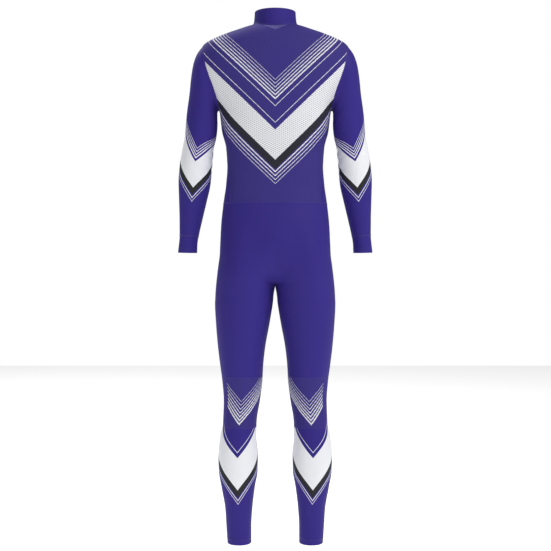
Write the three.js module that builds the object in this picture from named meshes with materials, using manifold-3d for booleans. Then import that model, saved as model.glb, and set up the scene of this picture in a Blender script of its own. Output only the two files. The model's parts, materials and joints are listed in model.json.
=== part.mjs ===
// A one-piece race suit in stretch cloth, hollow, in the form that it takes when it is worn.
// Millimetres, +Z up, +X towards the wearer's right hand, +Y the way the wearer faces.
// The origin is in the middle of the neck, level with the shoulder seams' inner ends.
import * as THREE from "three";
import { mergeVertices } from "three/addons/utils/BufferGeometryUtils.js";
import Module from "manifold-3d";

// Driving sizes
const WALL = 2;
const SEAM_GAP = 0.3;
const SHOULDER_POINT = -60;
const UNDERARM = -240;
const WAIST_SEAM = -501;
const CROTCH = -726;
const SEAT_TURN = -640;
const SEAT_TOP = -540;
const ANKLE_HEM = -1445;
const SLEEVE_LENGTH = 576;
const CUFF_SEAM = 518;
const ARMHOLE_REACH = 62; // half of the armhole's depth from back to front
const KNEE_MESH = { top: -983, bottom: -1120, columns: 6 };
const COLLAR = { backRise: 36, frontRise: 4, backDrop: 13, frontDrop: 45 };
const ZIP_WIDTH = 10;

// How finely the cloth is laid out: columns from the middle back to the side seam and on to the zip
const BACK_COLUMNS = 7;
const FRONT_COLUMNS = 9;
const HALF_COLUMNS = BACK_COLUMNS + FRONT_COLUMNS;
const ARMHOLE_ROWS = 8;
const SLEEVE_COLUMNS = 2 * ARMHOLE_ROWS;
const SHOULDER_ROWS = 6;
const BODY_ROWS = 8;
const COLLAR_ROWS = 2;

// The trunk's level sections: half its width, its back and front, and where it is widest.
// A squareness of 2 is an ellipse and more is boxier. The lifts bend a section down at its back and front.
const trunkForm = [
  { height: 0, halfWidth: 62, back: -58, front: 66, middle: 2, squareness: 2, backLift: -13, frontLift: -45 },
  { height: -8, halfWidth: 86, back: -68, front: 67, middle: 1, squareness: 2, backLift: -11, frontLift: -44 },
  { height: -17, halfWidth: 110, back: -76, front: 68, middle: 0, squareness: 2.05, backLift: -9, frontLift: -42 },
  { height: -25, halfWidth: 132, back: -81, front: 69, middle: -2, squareness: 2.1, backLift: -7, frontLift: -40 },
  { height: -34, halfWidth: 154, back: -86, front: 71, middle: -4, squareness: 2.15, backLift: -5, frontLift: -38 },
  { height: -42, halfWidth: 172, back: -90, front: 73, middle: -6, squareness: 2.2, backLift: -4, frontLift: -36 },
  { height: -60, halfWidth: 200, back: -97, front: 79, middle: -8, squareness: 2.3, backLift: 0, frontLift: -30 },
  { height: -90, halfWidth: 214, back: -104, front: 88, middle: -8, squareness: 2.4, backLift: 0, frontLift: -20 },
  { height: -120, halfWidth: 218, back: -108, front: 95, middle: -7, squareness: 2.45, backLift: 0, frontLift: -8 },
  { height: -150, halfWidth: 209, back: -109, front: 100, middle: -6, squareness: 2.5, backLift: 0, frontLift: -2 },
  { height: -184, halfWidth: 188, back: -109, front: 104, middle: -4, squareness: 2.5, backLift: 0, frontLift: 0 },
  { height: -214, halfWidth: 169, back: -107, front: 105, middle: -3, squareness: 2.5, backLift: 0, frontLift: 0 },
  { height: -240, halfWidth: 156, back: -104, front: 104, middle: -2, squareness: 2.5, backLift: 0, frontLift: 0 },
  { height: -300, halfWidth: 148, back: -94, front: 99, middle: 0, squareness: 2.45, backLift: 0, frontLift: 0 },
  { height: -344, halfWidth: 137, back: -84, front: 94, middle: 2, squareness: 2.4, backLift: 0, frontLift: 0 },
  { height: -395, halfWidth: 134, back: -76, front: 90, middle: 3, squareness: 2.4, backLift: 0, frontLift: 0 },
  { height: -440, halfWidth: 137, back: -75, front: 88, middle: 3, squareness: 2.4, backLift: 0, frontLift: 0 },
  { height: -501, halfWidth: 145, back: -86, front: 87, middle: 0, squareness: 2.4, backLift: 0, frontLift: 0 },
  { height: -560, halfWidth: 151, back: -106, front: 87, middle: -6, squareness: 2.35, backLift: 0, frontLift: 0 },
  { height: -640, halfWidth: 155, back: -122, front: 86, middle: -12, squareness: 2.3, backLift: 0, frontLift: 0 },
  { height: -690, halfWidth: 161, back: -120, front: 84, middle: -12, squareness: 2.25, backLift: 0, frontLift: 0 },
  { height: -726, halfWidth: 165, back: -112, front: 82, middle: -12, squareness: 2.2, backLift: 0, frontLift: 0 },
];

// The side seam of the back panel: it runs straight up from the waist and then out to the side
const sideSeamLine = [
  { height: -360, across: 137 },
  { height: -395, across: 132 },
  { height: -420, across: 127 },
  { height: -460, across: 124 },
  { height: -501, across: 123 },
];

// A leg's sections: its outer and inner sides, its back and front, and where it is widest
const legForm = [
  { height: -540, outer: 149, inner: 0, back: -101, front: 87, middle: -4 },
  { height: -590, outer: 153, inner: 0, back: -117, front: 87, middle: -9 },
  { height: -640, outer: 155, inner: 0, back: -124, front: 86, middle: -12 },
  { height: -690, outer: 161, inner: 0, back: -120, front: 84, middle: -12 },
  { height: -726, outer: 165, inner: 0, back: -112, front: 82, middle: -12 },
  { height: -750, outer: 167, inner: 3.4, back: -106, front: 81, middle: -12 },
  { height: -780, outer: 168, inner: 7, back: -101, front: 80, middle: -10 },
  { height: -840, outer: 165, inner: 17, back: -93, front: 77, middle: -8 },
  { height: -900, outer: 160, inner: 28, back: -84, front: 72, middle: -6 },
  { height: -950, outer: 154, inner: 33.6, back: -75, front: 66, middle: -4 },
  { height: -1000, outer: 147.5, inner: 36.6, back: -67, front: 60, middle: -3 },
  { height: -1050, outer: 144, inner: 43, back: -62, front: 55, middle: -4 },
  { height: -1110, outer: 146, inner: 52, back: -67, front: 46, middle: -12 },
  { height: -1150, outer: 153.5, inner: 53, back: -76, front: 41, middle: -19 },
  { height: -1195, outer: 158, inner: 48.4, back: -81, front: 36, middle: -24 },
  { height: -1240, outer: 157, inner: 49, back: -79, front: 31, middle: -25 },
  { height: -1290, outer: 149, inner: 57, back: -70, front: 26, middle: -22 },
  { height: -1350, outer: 139, inner: 64, back: -59, front: 21, middle: -17 },
  { height: -1400, outer: 136, inner: 67, back: -54, front: 20, middle: -14 },
  { height: -1445, outer: 133, inner: 67, back: -53, front: 24, middle: -12 },
];
const LEG_SQUARENESS = 2.1;

// How the seat is eased where it closes into the legs: how far across it is filled out, by how much
// behind and in front, and how far its middle line dips behind
const seatForm = [
  { height: -600, fillAcross: 52, backFill: 0, frontFill: 0, backDip: 0 },
  { height: -640, fillAcross: 50, backFill: 5.5, frontFill: 3, backDip: 9 },
  { height: -660, fillAcross: 46, backFill: 8, frontFill: 5, backDip: 10.5 },
  { height: -680, fillAcross: 41, backFill: 9, frontFill: 7, backDip: 7 },
  { height: -700, fillAcross: 33, backFill: 9, frontFill: 7, backDip: 0 },
  { height: -726, fillAcross: 28, backFill: 0, frontFill: 0, backDip: 0 },
];
const SEAT_FILL_WIDTH = 18;
const SEAT_DIP_WIDTH = 20;

// A sleeve's sections, each in the plane of its outer side, its inner side and the depth direction.
// along is the length of sleeve above the section, and the first section is the armhole itself.
const sleeveForm = [
  { along: 0, outerX: 200, outerZ: -60, innerX: 156, innerZ: -240, back: -68, front: 56 },
  { along: 30, outerX: 218, outerZ: -85, innerX: 160.5, innerZ: -242, back: -68, front: 56 },
  { along: 60, outerX: 229, outerZ: -116, innerX: 162, innerZ: -249, back: -66, front: 54 },
  { along: 95, outerX: 235.5, outerZ: -155, innerX: 162, innerZ: -262, back: -62, front: 51 },
  { along: 130, outerX: 239.5, outerZ: -193, innerX: 161.5, innerZ: -278, back: -59, front: 49 },
  { along: 165, outerX: 244.5, outerZ: -228, innerX: 162.5, innerZ: -297, back: -56, front: 47 },
  { along: 205, outerX: 249, outerZ: -268, innerX: 166, innerZ: -321, back: -53, front: 44 },
  { along: 245, outerX: 252, outerZ: -308, innerX: 172, innerZ: -345, back: -50, front: 42 },
  { along: 285, outerX: 260, outerZ: -350, innerX: 175, innerZ: -377, back: -47, front: 41 },
  { along: 325, outerX: 267, outerZ: -392, innerX: 178, innerZ: -409, back: -43, front: 41 },
  { along: 370, outerX: 271, outerZ: -438, innerX: 182, innerZ: -448, back: -37, front: 43 },
  { along: 420, outerX: 270, outerZ: -490, innerX: 193, innerZ: -496, back: -29, front: 44 },
  { along: 470, outerX: 269, outerZ: -541, innerX: 205, innerZ: -545, back: -20, front: 43 },
  { along: 518, outerX: 269, outerZ: -589, innerX: 215.5, innerZ: -591, back: -12, front: 42 },
  { along: 545, outerX: 271, outerZ: -612, innerX: 219, innerZ: -614, back: -9, front: 42 },
  { along: 576, outerX: 274, outerZ: -637, innerX: 220, innerZ: -638, back: -8, front: 44 },
];
const CAP_BLEND = 150; // the length of sleeve over which the armhole's own curve fades into round sections

// The collar's level sections, from the neck seam up to the rim
const collarForm = [
  { rise: 0, halfWidth: 62, back: -58, front: 66, middle: 2 },
  { rise: 0.25, halfWidth: 59.5, back: -57, front: 64.5, middle: 2 },
  { rise: 1, halfWidth: 57, back: -55, front: 61, middle: 2 },
];

// Zip slider and pull tab
const SLIDER = { width: 7, length: 9, thickness: 1.6, corner: 1.5, belowRim: 9 };
const BAIL = { width: 1.6, bore: 1.3, wire: 1 };
const TAB = { width: 5, length: 24, thickness: 1.2, windowWidth: 3, windowLength: 4.8, bar: 0.7, corner: 1.2 };

const stretchCloth = new THREE.MeshStandardMaterial({ color: 0x3c3083, roughness: 0.62, metalness: 0 });
const meshCloth = new THREE.MeshStandardMaterial({ color: 0x3d357a, roughness: 0.75, metalness: 0 });
const zipCloth = new THREE.MeshStandardMaterial({ color: 0x2b2560, roughness: 0.7, metalness: 0 });
const darkMetal = new THREE.MeshStandardMaterial({ color: 0x2a2a2e, roughness: 0.4, metalness: 0.8 });

// A smooth value between a table's rows: each stretch is a cubic that doesn't overshoot them.
function smoothValue(rows, key, place, column) {
  const order = Math.sign(rows[rows.length - 1][key] - rows[0][key]);
  const at = (index) => rows[index][key] * order;
  const slope = (index) => (rows[index + 1][column] - rows[index][column]) / (at(index + 1) - at(index));
  const tangent = (index) => {
    if (index === 0) return slope(0);
    if (index === rows.length - 1) return slope(index - 1);
    const before = slope(index - 1);
    const after = slope(index);
    return before * after <= 0 ? 0 : (2 * before * after) / (before + after);
  };
  const wanted = THREE.MathUtils.clamp(place * order, at(0), at(rows.length - 1));
  let index = 0;
  while (index < rows.length - 2 && wanted > at(index + 1)) index += 1;
  const span = at(index + 1) - at(index);
  const t = (wanted - at(index)) / span;
  return (
    rows[index][column] * (1 + 2 * t) * (1 - t) ** 2 +
    tangent(index) * span * t * (1 - t) ** 2 +
    rows[index + 1][column] * t * t * (3 - 2 * t) +
    tangent(index + 1) * span * t * t * (t - 1)
  );
}

// Every column of a table, read at one place
function smoothRow(rows, key, place) {
  const columns = Object.keys(rows[0]).filter((column) => column !== key);
  return Object.fromEntries(columns.map((column) => [column, smoothValue(rows, key, place, column)]));
}

// A point of a section: angle 0 is the middle back, a quarter turn the wearer's right, a half turn the front.
function sectionPoint(section, angle, squareness) {
  const side = Math.sin(angle);
  const ahead = -Math.cos(angle);
  const depth = ahead < 0 ? section.middle - section.back : section.front - section.middle;
  const share = (Math.abs(side) / section.halfWidth) ** squareness + (Math.abs(ahead) / depth) ** squareness;
  const reach = share ** (-1 / squareness);
  return { across: reach * side, depth: section.middle + reach * ahead };
}

// The angle between the middle line and the side at which a section passes a given measure
function angleWhere(section, passes, middleLine) {
  let near = middleLine;
  let far = Math.PI / 2;
  for (let step = 0; step < 40; step += 1) {
    const angle = (near + far) / 2;
    if (passes(sectionPoint(section, angle, section.squareness))) far = angle;
    else near = angle;
  }
  return (near + far) / 2;
}

// Angles that share a stretch of a section into equal lengths
function evenAngles(section, from, to, count) {
  const steps = 64;
  const lengths = [0];
  let last = sectionPoint(section, from, section.squareness);
  for (let step = 1; step <= steps; step += 1) {
    const next = sectionPoint(section, from + ((to - from) * step) / steps, section.squareness);
    lengths.push(lengths[step - 1] + Math.hypot(next.across - last.across, next.depth - last.depth));
    last = next;
  }
  return Array.from({ length: count + 1 }, (unused, index) => {
    const wanted = (lengths[steps] * index) / count;
    let step = 1;
    while (step < steps && lengths[step] < wanted) step += 1;
    const part = (wanted - lengths[step - 1]) / (lengths[step] - lengths[step - 1]);
    return from + ((to - from) * (step - 1 + part)) / steps;
  });
}

// A point of the trunk at a height and an angle, with the neckline's drop at its back and front
function trunkPoint(section, height, angle) {
  const { across, depth } = sectionPoint(section, angle, section.squareness);
  const lift = Math.cos(angle) > 0 ? section.backLift : section.frontLift;
  return new THREE.Vector3(across, depth, height + lift * Math.cos(angle) ** 2);
}

// The angles where a trunk section's back panel ends and its front panel starts
function seamAngles(section, height) {
  const side = Math.PI / 2;
  if (height < SHOULDER_POINT && height > UNDERARM) {
    const turn = Math.acos((2 * height - SHOULDER_POINT - UNDERARM) / (SHOULDER_POINT - UNDERARM));
    const reach = ARMHOLE_REACH * Math.sin(turn);
    const within = ({ depth }) => Math.abs(depth - section.middle) < reach;
    return [angleWhere(section, within, 0), angleWhere(section, within, Math.PI)];
  }
  const across = smoothValue(sideSeamLine, "height", height, "across");
  if (height >= sideSeamLine[0].height || across >= section.halfWidth) return [side, side];
  const seam = angleWhere(section, (point) => point.across > across, 0);
  return [seam, seam];
}

// The angles of one trunk row's columns, from the middle back round the wearer's right to the middle front
function trunkAngles(section, height) {
  const [backEnd, frontStart] = seamAngles(section, height);
  return {
    back: evenAngles(section, 0, backEnd, BACK_COLUMNS),
    front: evenAngles(section, frontStart, Math.PI, FRONT_COLUMNS),
  };
}

function spaced(from, to, count) {
  return Array.from({ length: count + 1 }, (unused, index) => from + ((to - from) * index) / count);
}

// Row heights down the trunk: even over the shoulder, close at the armhole's ends, even to the waist
function trunkHeights() {
  const middle = (SHOULDER_POINT + UNDERARM) / 2;
  const half = (SHOULDER_POINT - UNDERARM) / 2;
  const armhole = spaced(0, Math.PI, ARMHOLE_ROWS).map((turn) => middle + half * Math.cos(turn));
  return [
    ...spaced(0, SHOULDER_POINT, SHOULDER_ROWS).slice(0, -1),
    SHOULDER_POINT,
    ...armhole.slice(1, -1),
    UNDERARM,
    ...spaced(UNDERARM, WAIST_SEAM, BODY_ROWS).slice(1),
  ];
}

// The trunk's rows for the wearer's right side, with the zip's edge and the middle front line beside them
function trunkRows() {
  return trunkHeights().map((height) => {
    const section = smoothRow(trunkForm, "height", height);
    const angles = trunkAngles(section, height);
    const zipAngle = angleWhere(section, (point) => point.across > ZIP_WIDTH / 2, Math.PI);
    const front = angles.front.map((angle) => trunkPoint(section, height, angle));
    return {
      height,
      angles,
      zipAngle,
      back: angles.back.map((angle) => trunkPoint(section, height, angle)),
      front: [...front.slice(0, -1), trunkPoint(section, height, zipAngle)],
      middleFront: trunkPoint(section, height, Math.PI).setX(0),
    };
  });
}

function mirrored(point) {
  return point.clone().setX(-point.x);
}

// A row of points over both sides, from the wearer's left to the right, from a right-hand row that starts
// at the middle
function bothSides(row) {
  return [...row.slice(1).reverse().map(mirrored), row[0].clone().setX(0), ...row.slice(1)];
}

function backPanelGrid(rows) {
  return rows.map((row) => bothSides(row.back));
}

function frontPanelGrid(rows) {
  return rows.map((row) => row.front);
}

// Collar: from the neck seam, whose points it shares, straight up to the rim
function collarPoint(rise, angle) {
  const section = smoothRow(collarForm, "rise", rise);
  const { across, depth } = sectionPoint(section, angle, 2);
  const turned = Math.cos(angle) ** 2;
  const behind = Math.cos(angle) > 0;
  const seam = -(behind ? COLLAR.backDrop : COLLAR.frontDrop) * turned;
  const rim = COLLAR.backRise + (behind ? 0 : (COLLAR.frontRise - COLLAR.backRise) * turned);
  return new THREE.Vector3(across, depth, seam + (rim - seam) * rise);
}

function collarRows(neckRow) {
  const angles = [...neckRow.angles.back, ...neckRow.angles.front.slice(1, -1), neckRow.zipAngle];
  return spaced(1, 0, COLLAR_ROWS).map((rise) => ({
    right: angles.map((angle) => collarPoint(rise, angle)),
    middleFront: collarPoint(rise, Math.PI).setX(0),
  }));
}

// Zip: a strip between the two fronts, from the collar's rim to the waist seam
function zipGrid(collar, rows) {
  const edges = [
    ...collar.slice(0, -1).map((row) => [row.right[HALF_COLUMNS], row.middleFront]),
    ...rows.map((row) => [row.front[FRONT_COLUMNS], row.middleFront]),
  ];
  return edges.map(([edge, middle]) => [edge, middle, mirrored(edge)]);
}

// Sleeve: the armhole's own points, from its top down the front and up the back, then rings that grow round
function armholeRing(rows) {
  const top = rows.findIndex((row) => row.height === SHOULDER_POINT);
  const armholeRows = rows.slice(top, top + ARMHOLE_ROWS + 1);
  const ahead = armholeRows.map((row) => row.front[0]);
  const behind = armholeRows.slice(1, -1).map((row) => row.back[BACK_COLUMNS]);
  return [...ahead, ...behind.reverse()];
}

function sleeveRingPoint(along, turn) {
  const form = smoothRow(sleeveForm, "along", along);
  const outward = Math.cos(turn);
  const depthwise = Math.sin(turn);
  const middle = (form.back + form.front) / 2;
  const reach = (form.front - form.back) / 2;
  return new THREE.Vector3(
    (form.outerX + form.innerX) / 2 + (outward * (form.outerX - form.innerX)) / 2,
    middle + depthwise * reach,
    (form.outerZ + form.innerZ) / 2 + (outward * (form.outerZ - form.innerZ)) / 2,
  );
}

function sleeveGrid(ring, stations) {
  return stations.map((along) => {
    const fade = THREE.MathUtils.smoothstep(CAP_BLEND - along, 0, CAP_BLEND);
    const row = ring.map((point, column) => {
      const turn = (2 * Math.PI * column) / SLEEVE_COLUMNS;
      const bend = point.clone().sub(sleeveRingPoint(0, turn));
      return sleeveRingPoint(along, turn).addScaledVector(bend, fade);
    });
    return [...row, row[0].clone()];
  });
}

// Leg: half of the seat round from the middle back to the middle front, closing into a tube at the crotch.
// A share of 0 is the trunk's half section and 1 the leg's own ring. The ends at the middle, which run down
// the crotch seam, turn under it late, and the rest of the seat rounds into the leg early.
const SEAM_SPREAD = 0.3;

function legShare(height, part) {
  const down = THREE.MathUtils.clamp((SEAT_TURN - height) / (SEAT_TURN - CROTCH), 0, 1);
  const atSeam = 1 - Math.sqrt(1 - down * down);
  const atSide = THREE.MathUtils.smoothstep(SEAT_TOP - height, 0, SEAT_TOP - CROTCH);
  const aside = THREE.MathUtils.smoothstep(Math.min(part, 1 - part), 0, SEAM_SPREAD);
  return THREE.MathUtils.lerp(atSeam, atSide, aside);
}

function legRingPoint(height, part) {
  const form = smoothRow(legForm, "height", height);
  const ring = { ...form, halfWidth: (form.outer - form.inner) / 2 };
  const { across, depth } = sectionPoint(ring, 2 * Math.PI * part - Math.PI / 2, LEG_SQUARENESS);
  return new THREE.Vector3((form.outer + form.inner) / 2 + across, depth, height);
}

function easeSeat(point, height, middle) {
  const form = smoothRow(seatForm, "height", height);
  const fill = Math.exp(-(((point.x - form.fillAcross) / SEAT_FILL_WIDTH) ** 2));
  const dip = Math.exp(-((point.x / SEAT_DIP_WIDTH) ** 2));
  point.y += point.y < middle ? form.backDip * dip - form.backFill * fill : form.frontFill * fill;
  return point;
}

function legRow(height, waistAngles) {
  const parts = spaced(0, 1, HALF_COLUMNS);
  if (height <= CROTCH) {
    const ring = parts.slice(0, -1).map((part) => legRingPoint(height, part));
    return [...ring, ring[0].clone()];
  }
  const section = smoothRow(trunkForm, "height", height);
  const even = evenAngles(section, 0, Math.PI, HALF_COLUMNS);
  const settle = THREE.MathUtils.smoothstep(WAIST_SEAM - height, 0, WAIST_SEAM - SEAT_TURN);
  return parts.map((part, column) => {
    const angle = THREE.MathUtils.lerp(waistAngles[column], even[column], settle);
    const seat = trunkPoint(section, height, angle);
    const point = seat.lerp(legRingPoint(height, part), legShare(height, part));
    const atSeam = column === 0 || column === HALF_COLUMNS;
    return easeSeat(atSeam ? point.setX(0) : point, height, section.middle);
  });
}

function legHeights() {
  const turns = [0.3, 0.52, 0.7, 0.83, 0.92, 0.98];
  return [
    ...spaced(WAIST_SEAM, SEAT_TURN, 4),
    ...turns.map((turn) => THREE.MathUtils.lerp(SEAT_TURN, CROTCH, turn)),
    CROTCH,
    CROTCH - 10,
    ...spaced(CROTCH - 26, KNEE_MESH.top, 7),
    ...spaced(KNEE_MESH.top, KNEE_MESH.bottom, 5).slice(1),
    ...spaced(KNEE_MESH.bottom, ANKLE_HEM, 11).slice(1),
  ];
}

function legGrid(waistRow) {
  const angles = [...waistRow.angles.back, ...waistRow.angles.front.slice(1)];
  return legHeights().map((height) => legRow(height, angles));
}

// Whether a cell of a leg's grid belongs to the mesh behind the knee
function behindKnee(grid, row, column) {
  const top = grid[row][0].z;
  return top <= KNEE_MESH.top + 1 && top > KNEE_MESH.bottom + 1 && column < KNEE_MESH.columns;
}

// Cloth: a panel is a grid of points on the outer face, seen from outside, and the cells that it keeps.
// Points in the same place are one corner, so a row that ends where it starts closes into a tube.
// Each cell is two triangles, split the other way on the wearer's left, so the two sides match.
const CORNER_STEP = 1e-3;

function cornerName(point) {
  return point.toArray().map((value) => Math.round(value / CORNER_STEP) || 0).join(",");
}

function panelFaces(grid, keeps) {
  const corners = new Map();
  const cornerAt = (row, column) => {
    const name = cornerName(grid[row][column]);
    if (!corners.has(name)) corners.set(name, { name, point: grid[row][column] });
    return corners.get(name);
  };
  const faces = [];
  for (let row = 0; row < grid.length - 1; row += 1) {
    for (let column = 0; column < grid[row].length - 1; column += 1) {
      if (!keeps(row, column)) continue;
      const cell = [
        cornerAt(row, column),
        cornerAt(row + 1, column),
        cornerAt(row + 1, column + 1),
        cornerAt(row, column + 1),
      ];
      const onLeft = cell[0].point.x + cell[2].point.x < 0;
      const halves = onLeft ? [[0, 1, 3], [1, 2, 3]] : [[0, 1, 2], [0, 2, 3]];
      for (const half of halves) {
        const face = half.map((index) => cell[index]);
        if (new Set(face).size === 3) faces.push(face);
      }
    }
  }
  return faces;
}

function faceNormal([a, b, c]) {
  return new THREE.Vector3().subVectors(b.point, a.point).cross(new THREE.Vector3().subVectors(c.point, a.point));
}

// Outward directions at every corner, each face weighing by its own angle there, shared by the panels that
// meet at the corner and by both sides of the suit
function sharedNormals(panels) {
  const normals = new Map();
  const add = (point, direction) => {
    const name = cornerName(point);
    if (!normals.has(name)) normals.set(name, new THREE.Vector3());
    normals.get(name).add(direction);
  };
  for (const panel of panels) {
    for (const face of panel.faces) {
      const normal = faceNormal(face).normalize();
      face.forEach((corner, index) => {
        const toNext = new THREE.Vector3().subVectors(face[(index + 1) % 3].point, corner.point);
        const toLast = new THREE.Vector3().subVectors(face[(index + 2) % 3].point, corner.point);
        const weighted = normal.clone().multiplyScalar(toNext.angleTo(toLast));
        add(corner.point, weighted);
        if (panel.paired) add(mirrored(corner.point), mirrored(weighted));
      });
    }
  }
  normals.forEach((normal) => normal.normalize());
  return normals;
}

// The edges that only one face uses, in that face's own direction
function openEdges(faces) {
  const edges = new Map();
  for (const face of faces) {
    face.forEach((start, index) => {
      const end = face[(index + 1) % face.length];
      edges.set(`${start.name}|${end.name}`, { start, end, normal: faceNormal(face).normalize() });
    });
  }
  return [...edges.values()].filter(({ start, end }) => !edges.has(`${end.name}|${start.name}`));
}

// The panel as a closed wall: its edges are drawn back by half the seam gap and its inner face is moved in.
function clothGeometry(faces, normals) {
  const edges = openEdges(faces);
  const drawn = new Map();
  for (const { start, end, normal } of edges) {
    const inward = normal.clone().cross(new THREE.Vector3().subVectors(end.point, start.point)).normalize();
    for (const corner of [start, end]) {
      if (!drawn.has(corner.name)) drawn.set(corner.name, []);
      drawn.get(corner.name).push(inward);
    }
  }
  const places = [];
  const outer = new Map();
  const placeOf = (corner) => {
    if (!outer.has(corner.name)) {
      const point = corner.point.clone();
      const [first, second] = drawn.get(corner.name) ?? [];
      if (first && second) {
        const both = first.clone().add(second);
        point.addScaledVector(both, SEAM_GAP / 2 / Math.max(0.5, 1 + first.dot(second)));
      }
      outer.set(corner.name, places.length / 2);
      places.push(point, point.clone().addScaledVector(normals.get(corner.name), -WALL));
    }
    return outer.get(corner.name);
  };
  const triangles = [];
  for (const face of faces) {
    const [a, b, c] = face.map(placeOf);
    triangles.push(2 * a, 2 * b, 2 * c, 2 * a + 1, 2 * c + 1, 2 * b + 1);
  }
  for (const { start, end } of edges) {
    const [a, b] = [placeOf(start), placeOf(end)];
    triangles.push(2 * b, 2 * a, 2 * a + 1, 2 * b, 2 * a + 1, 2 * b + 1);
  }
  const geometry = new THREE.BufferGeometry().setFromPoints(places).setIndex(triangles);
  geometry.computeVertexNormals();
  return geometry;
}

// The same wall on the wearer's other side
function mirroredGeometry(geometry) {
  const other = geometry.clone().scale(-1, 1, 1);
  const index = other.getIndex();
  for (let i = 0; i < index.count; i += 3) {
    const second = index.getX(i + 1);
    index.setX(i + 1, index.getX(i + 2));
    index.setX(i + 2, second);
  }
  other.computeVertexNormals();
  return other;
}

function namedMesh(name, geometry, material) {
  const mesh = new THREE.Mesh(geometry, material);
  mesh.name = name;
  return mesh;
}

// Zip hardware, drawn with x across, y up the zip and z out from its face
const wasm = await Module();
wasm.setup();

function solidOf(geometry) {
  const bare = geometry.clone();
  bare.deleteAttribute("normal");
  bare.deleteAttribute("uv");
  const merged = mergeVertices(bare, CORNER_STEP);
  const vertProperties = new Float32Array(merged.getAttribute("position").array);
  const triVerts = new Uint32Array(merged.getIndex().array);
  return new wasm.Manifold(new wasm.Mesh({ numProp: 3, vertProperties, triVerts }));
}

function joined(first, second) {
  const { vertProperties, triVerts } = solidOf(first).add(solidOf(second)).getMesh();
  const geometry = new THREE.BufferGeometry();
  geometry.setAttribute("position", new THREE.BufferAttribute(vertProperties, 3));
  geometry.setIndex(new THREE.BufferAttribute(triVerts, 1));
  geometry.computeVertexNormals();
  return geometry;
}

function roundedRectangle(width, bottom, top, corner) {
  const half = width / 2;
  const shape = new THREE.Shape();
  shape.absarc(half - corner, top - corner, corner, 0, Math.PI / 2);
  shape.absarc(corner - half, top - corner, corner, Math.PI / 2, Math.PI);
  shape.absarc(corner - half, bottom + corner, corner, Math.PI, 1.5 * Math.PI);
  shape.absarc(half - corner, bottom + corner, corner, 1.5 * Math.PI, 2 * Math.PI);
  shape.closePath();
  return shape;
}

const PIVOT_OUT = SEAM_GAP + SLIDER.thickness + BAIL.bore;

function sliderGeometry() {
  const outline = roundedRectangle(SLIDER.width, -SLIDER.length / 2, SLIDER.length / 2, SLIDER.corner);
  const plate = new THREE.ExtrudeGeometry(outline, { depth: SLIDER.thickness, bevelEnabled: false, curveSegments: 3 });
  plate.translate(0, 0, SEAM_GAP);
  const foot = -BAIL.bore - SLIDER.thickness / 2;
  const outside = BAIL.bore + BAIL.wire;
  const arch = new THREE.Shape();
  arch.moveTo(outside, foot);
  arch.absarc(0, 0, outside, 0, Math.PI);
  arch.lineTo(-outside, foot);
  arch.lineTo(-BAIL.bore, foot);
  arch.absarc(0, 0, BAIL.bore, Math.PI, 0, true);
  arch.lineTo(BAIL.bore, foot);
  arch.closePath();
  const bail = new THREE.ExtrudeGeometry(arch, { depth: BAIL.width, bevelEnabled: false, curveSegments: 8 });
  bail.translate(0, 0, -BAIL.width / 2);
  bail.applyMatrix4(new THREE.Matrix4().makeBasis(
    new THREE.Vector3(0, 1, 0),
    new THREE.Vector3(0, 0, 1),
    new THREE.Vector3(1, 0, 0),
  ));
  bail.translate(0, 0, PIVOT_OUT);
  return joined(plate, bail);
}

function tabGeometry() {
  const outline = roundedRectangle(TAB.width, TAB.bar - TAB.length, TAB.bar, TAB.corner);
  const window = new THREE.Path();
  const half = TAB.windowWidth / 2;
  window.moveTo(-half, -TAB.bar);
  window.lineTo(-half, -TAB.bar - TAB.windowLength);
  window.lineTo(half, -TAB.bar - TAB.windowLength);
  window.lineTo(half, -TAB.bar);
  window.closePath();
  outline.holes.push(window);
  const tab = new THREE.ExtrudeGeometry(outline, { depth: TAB.thickness, bevelEnabled: false, curveSegments: 3 });
  tab.translate(0, 0, PIVOT_OUT - TAB.thickness / 2);
  return tab;
}

// The slider stands closed near the collar's rim, square to the zip's face there
function zipHardware(zipRows) {
  const top = zipRows[0][1];
  const below = zipRows[1][1];
  const up = new THREE.Vector3().subVectors(top, below).normalize();
  const across = new THREE.Vector3(-1, 0, 0);
  const out = new THREE.Vector3().crossVectors(across, up);
  const group = new THREE.Group();
  group.quaternion.setFromRotationMatrix(new THREE.Matrix4().makeBasis(across, up, out));
  group.position.copy(top).addScaledVector(up, -SLIDER.belowRim);
  group.add(namedMesh("zip_slider", sliderGeometry(), darkMetal));
  group.add(namedMesh("zip_pull_tab", tabGeometry(), darkMetal));
  return group;
}

// The whole suit
const rows = trunkRows();
const collar = collarRows(rows[0]);
const zipRows = zipGrid(collar, rows);
const leg = legGrid(rows[rows.length - 1]);
const ring = armholeRing(rows);
const sleeve = sleeveGrid(ring, spaced(0, CUFF_SEAM, 17));
const cuff = sleeveGrid(ring, spaced(CUFF_SEAM, SLEEVE_LENGTH, 3));
const always = () => true;
const panels = [
  { name: "back_panel", grid: backPanelGrid(rows), keeps: always, material: meshCloth },
  { name: "collar", grid: collar.map((row) => bothSides(row.right)), keeps: always, material: stretchCloth },
  { name: "zip_chain", grid: zipRows, keeps: always, material: zipCloth },
  { name: "front", grid: frontPanelGrid(rows), keeps: always, material: stretchCloth, paired: true },
  { name: "sleeve", grid: sleeve, keeps: always, material: stretchCloth, paired: true },
  { name: "cuff", grid: cuff, keeps: always, material: stretchCloth, paired: true },
  {
    name: "leg",
    grid: leg,
    keeps: (row, column) => !behindKnee(leg, row, column),
    material: stretchCloth,
    paired: true,
  },
  {
    name: "knee_mesh",
    grid: leg,
    keeps: (row, column) => behindKnee(leg, row, column),
    material: meshCloth,
    paired: true,
  },
].map((panel) => ({ ...panel, faces: panelFaces(panel.grid, panel.keeps) }));

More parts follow.
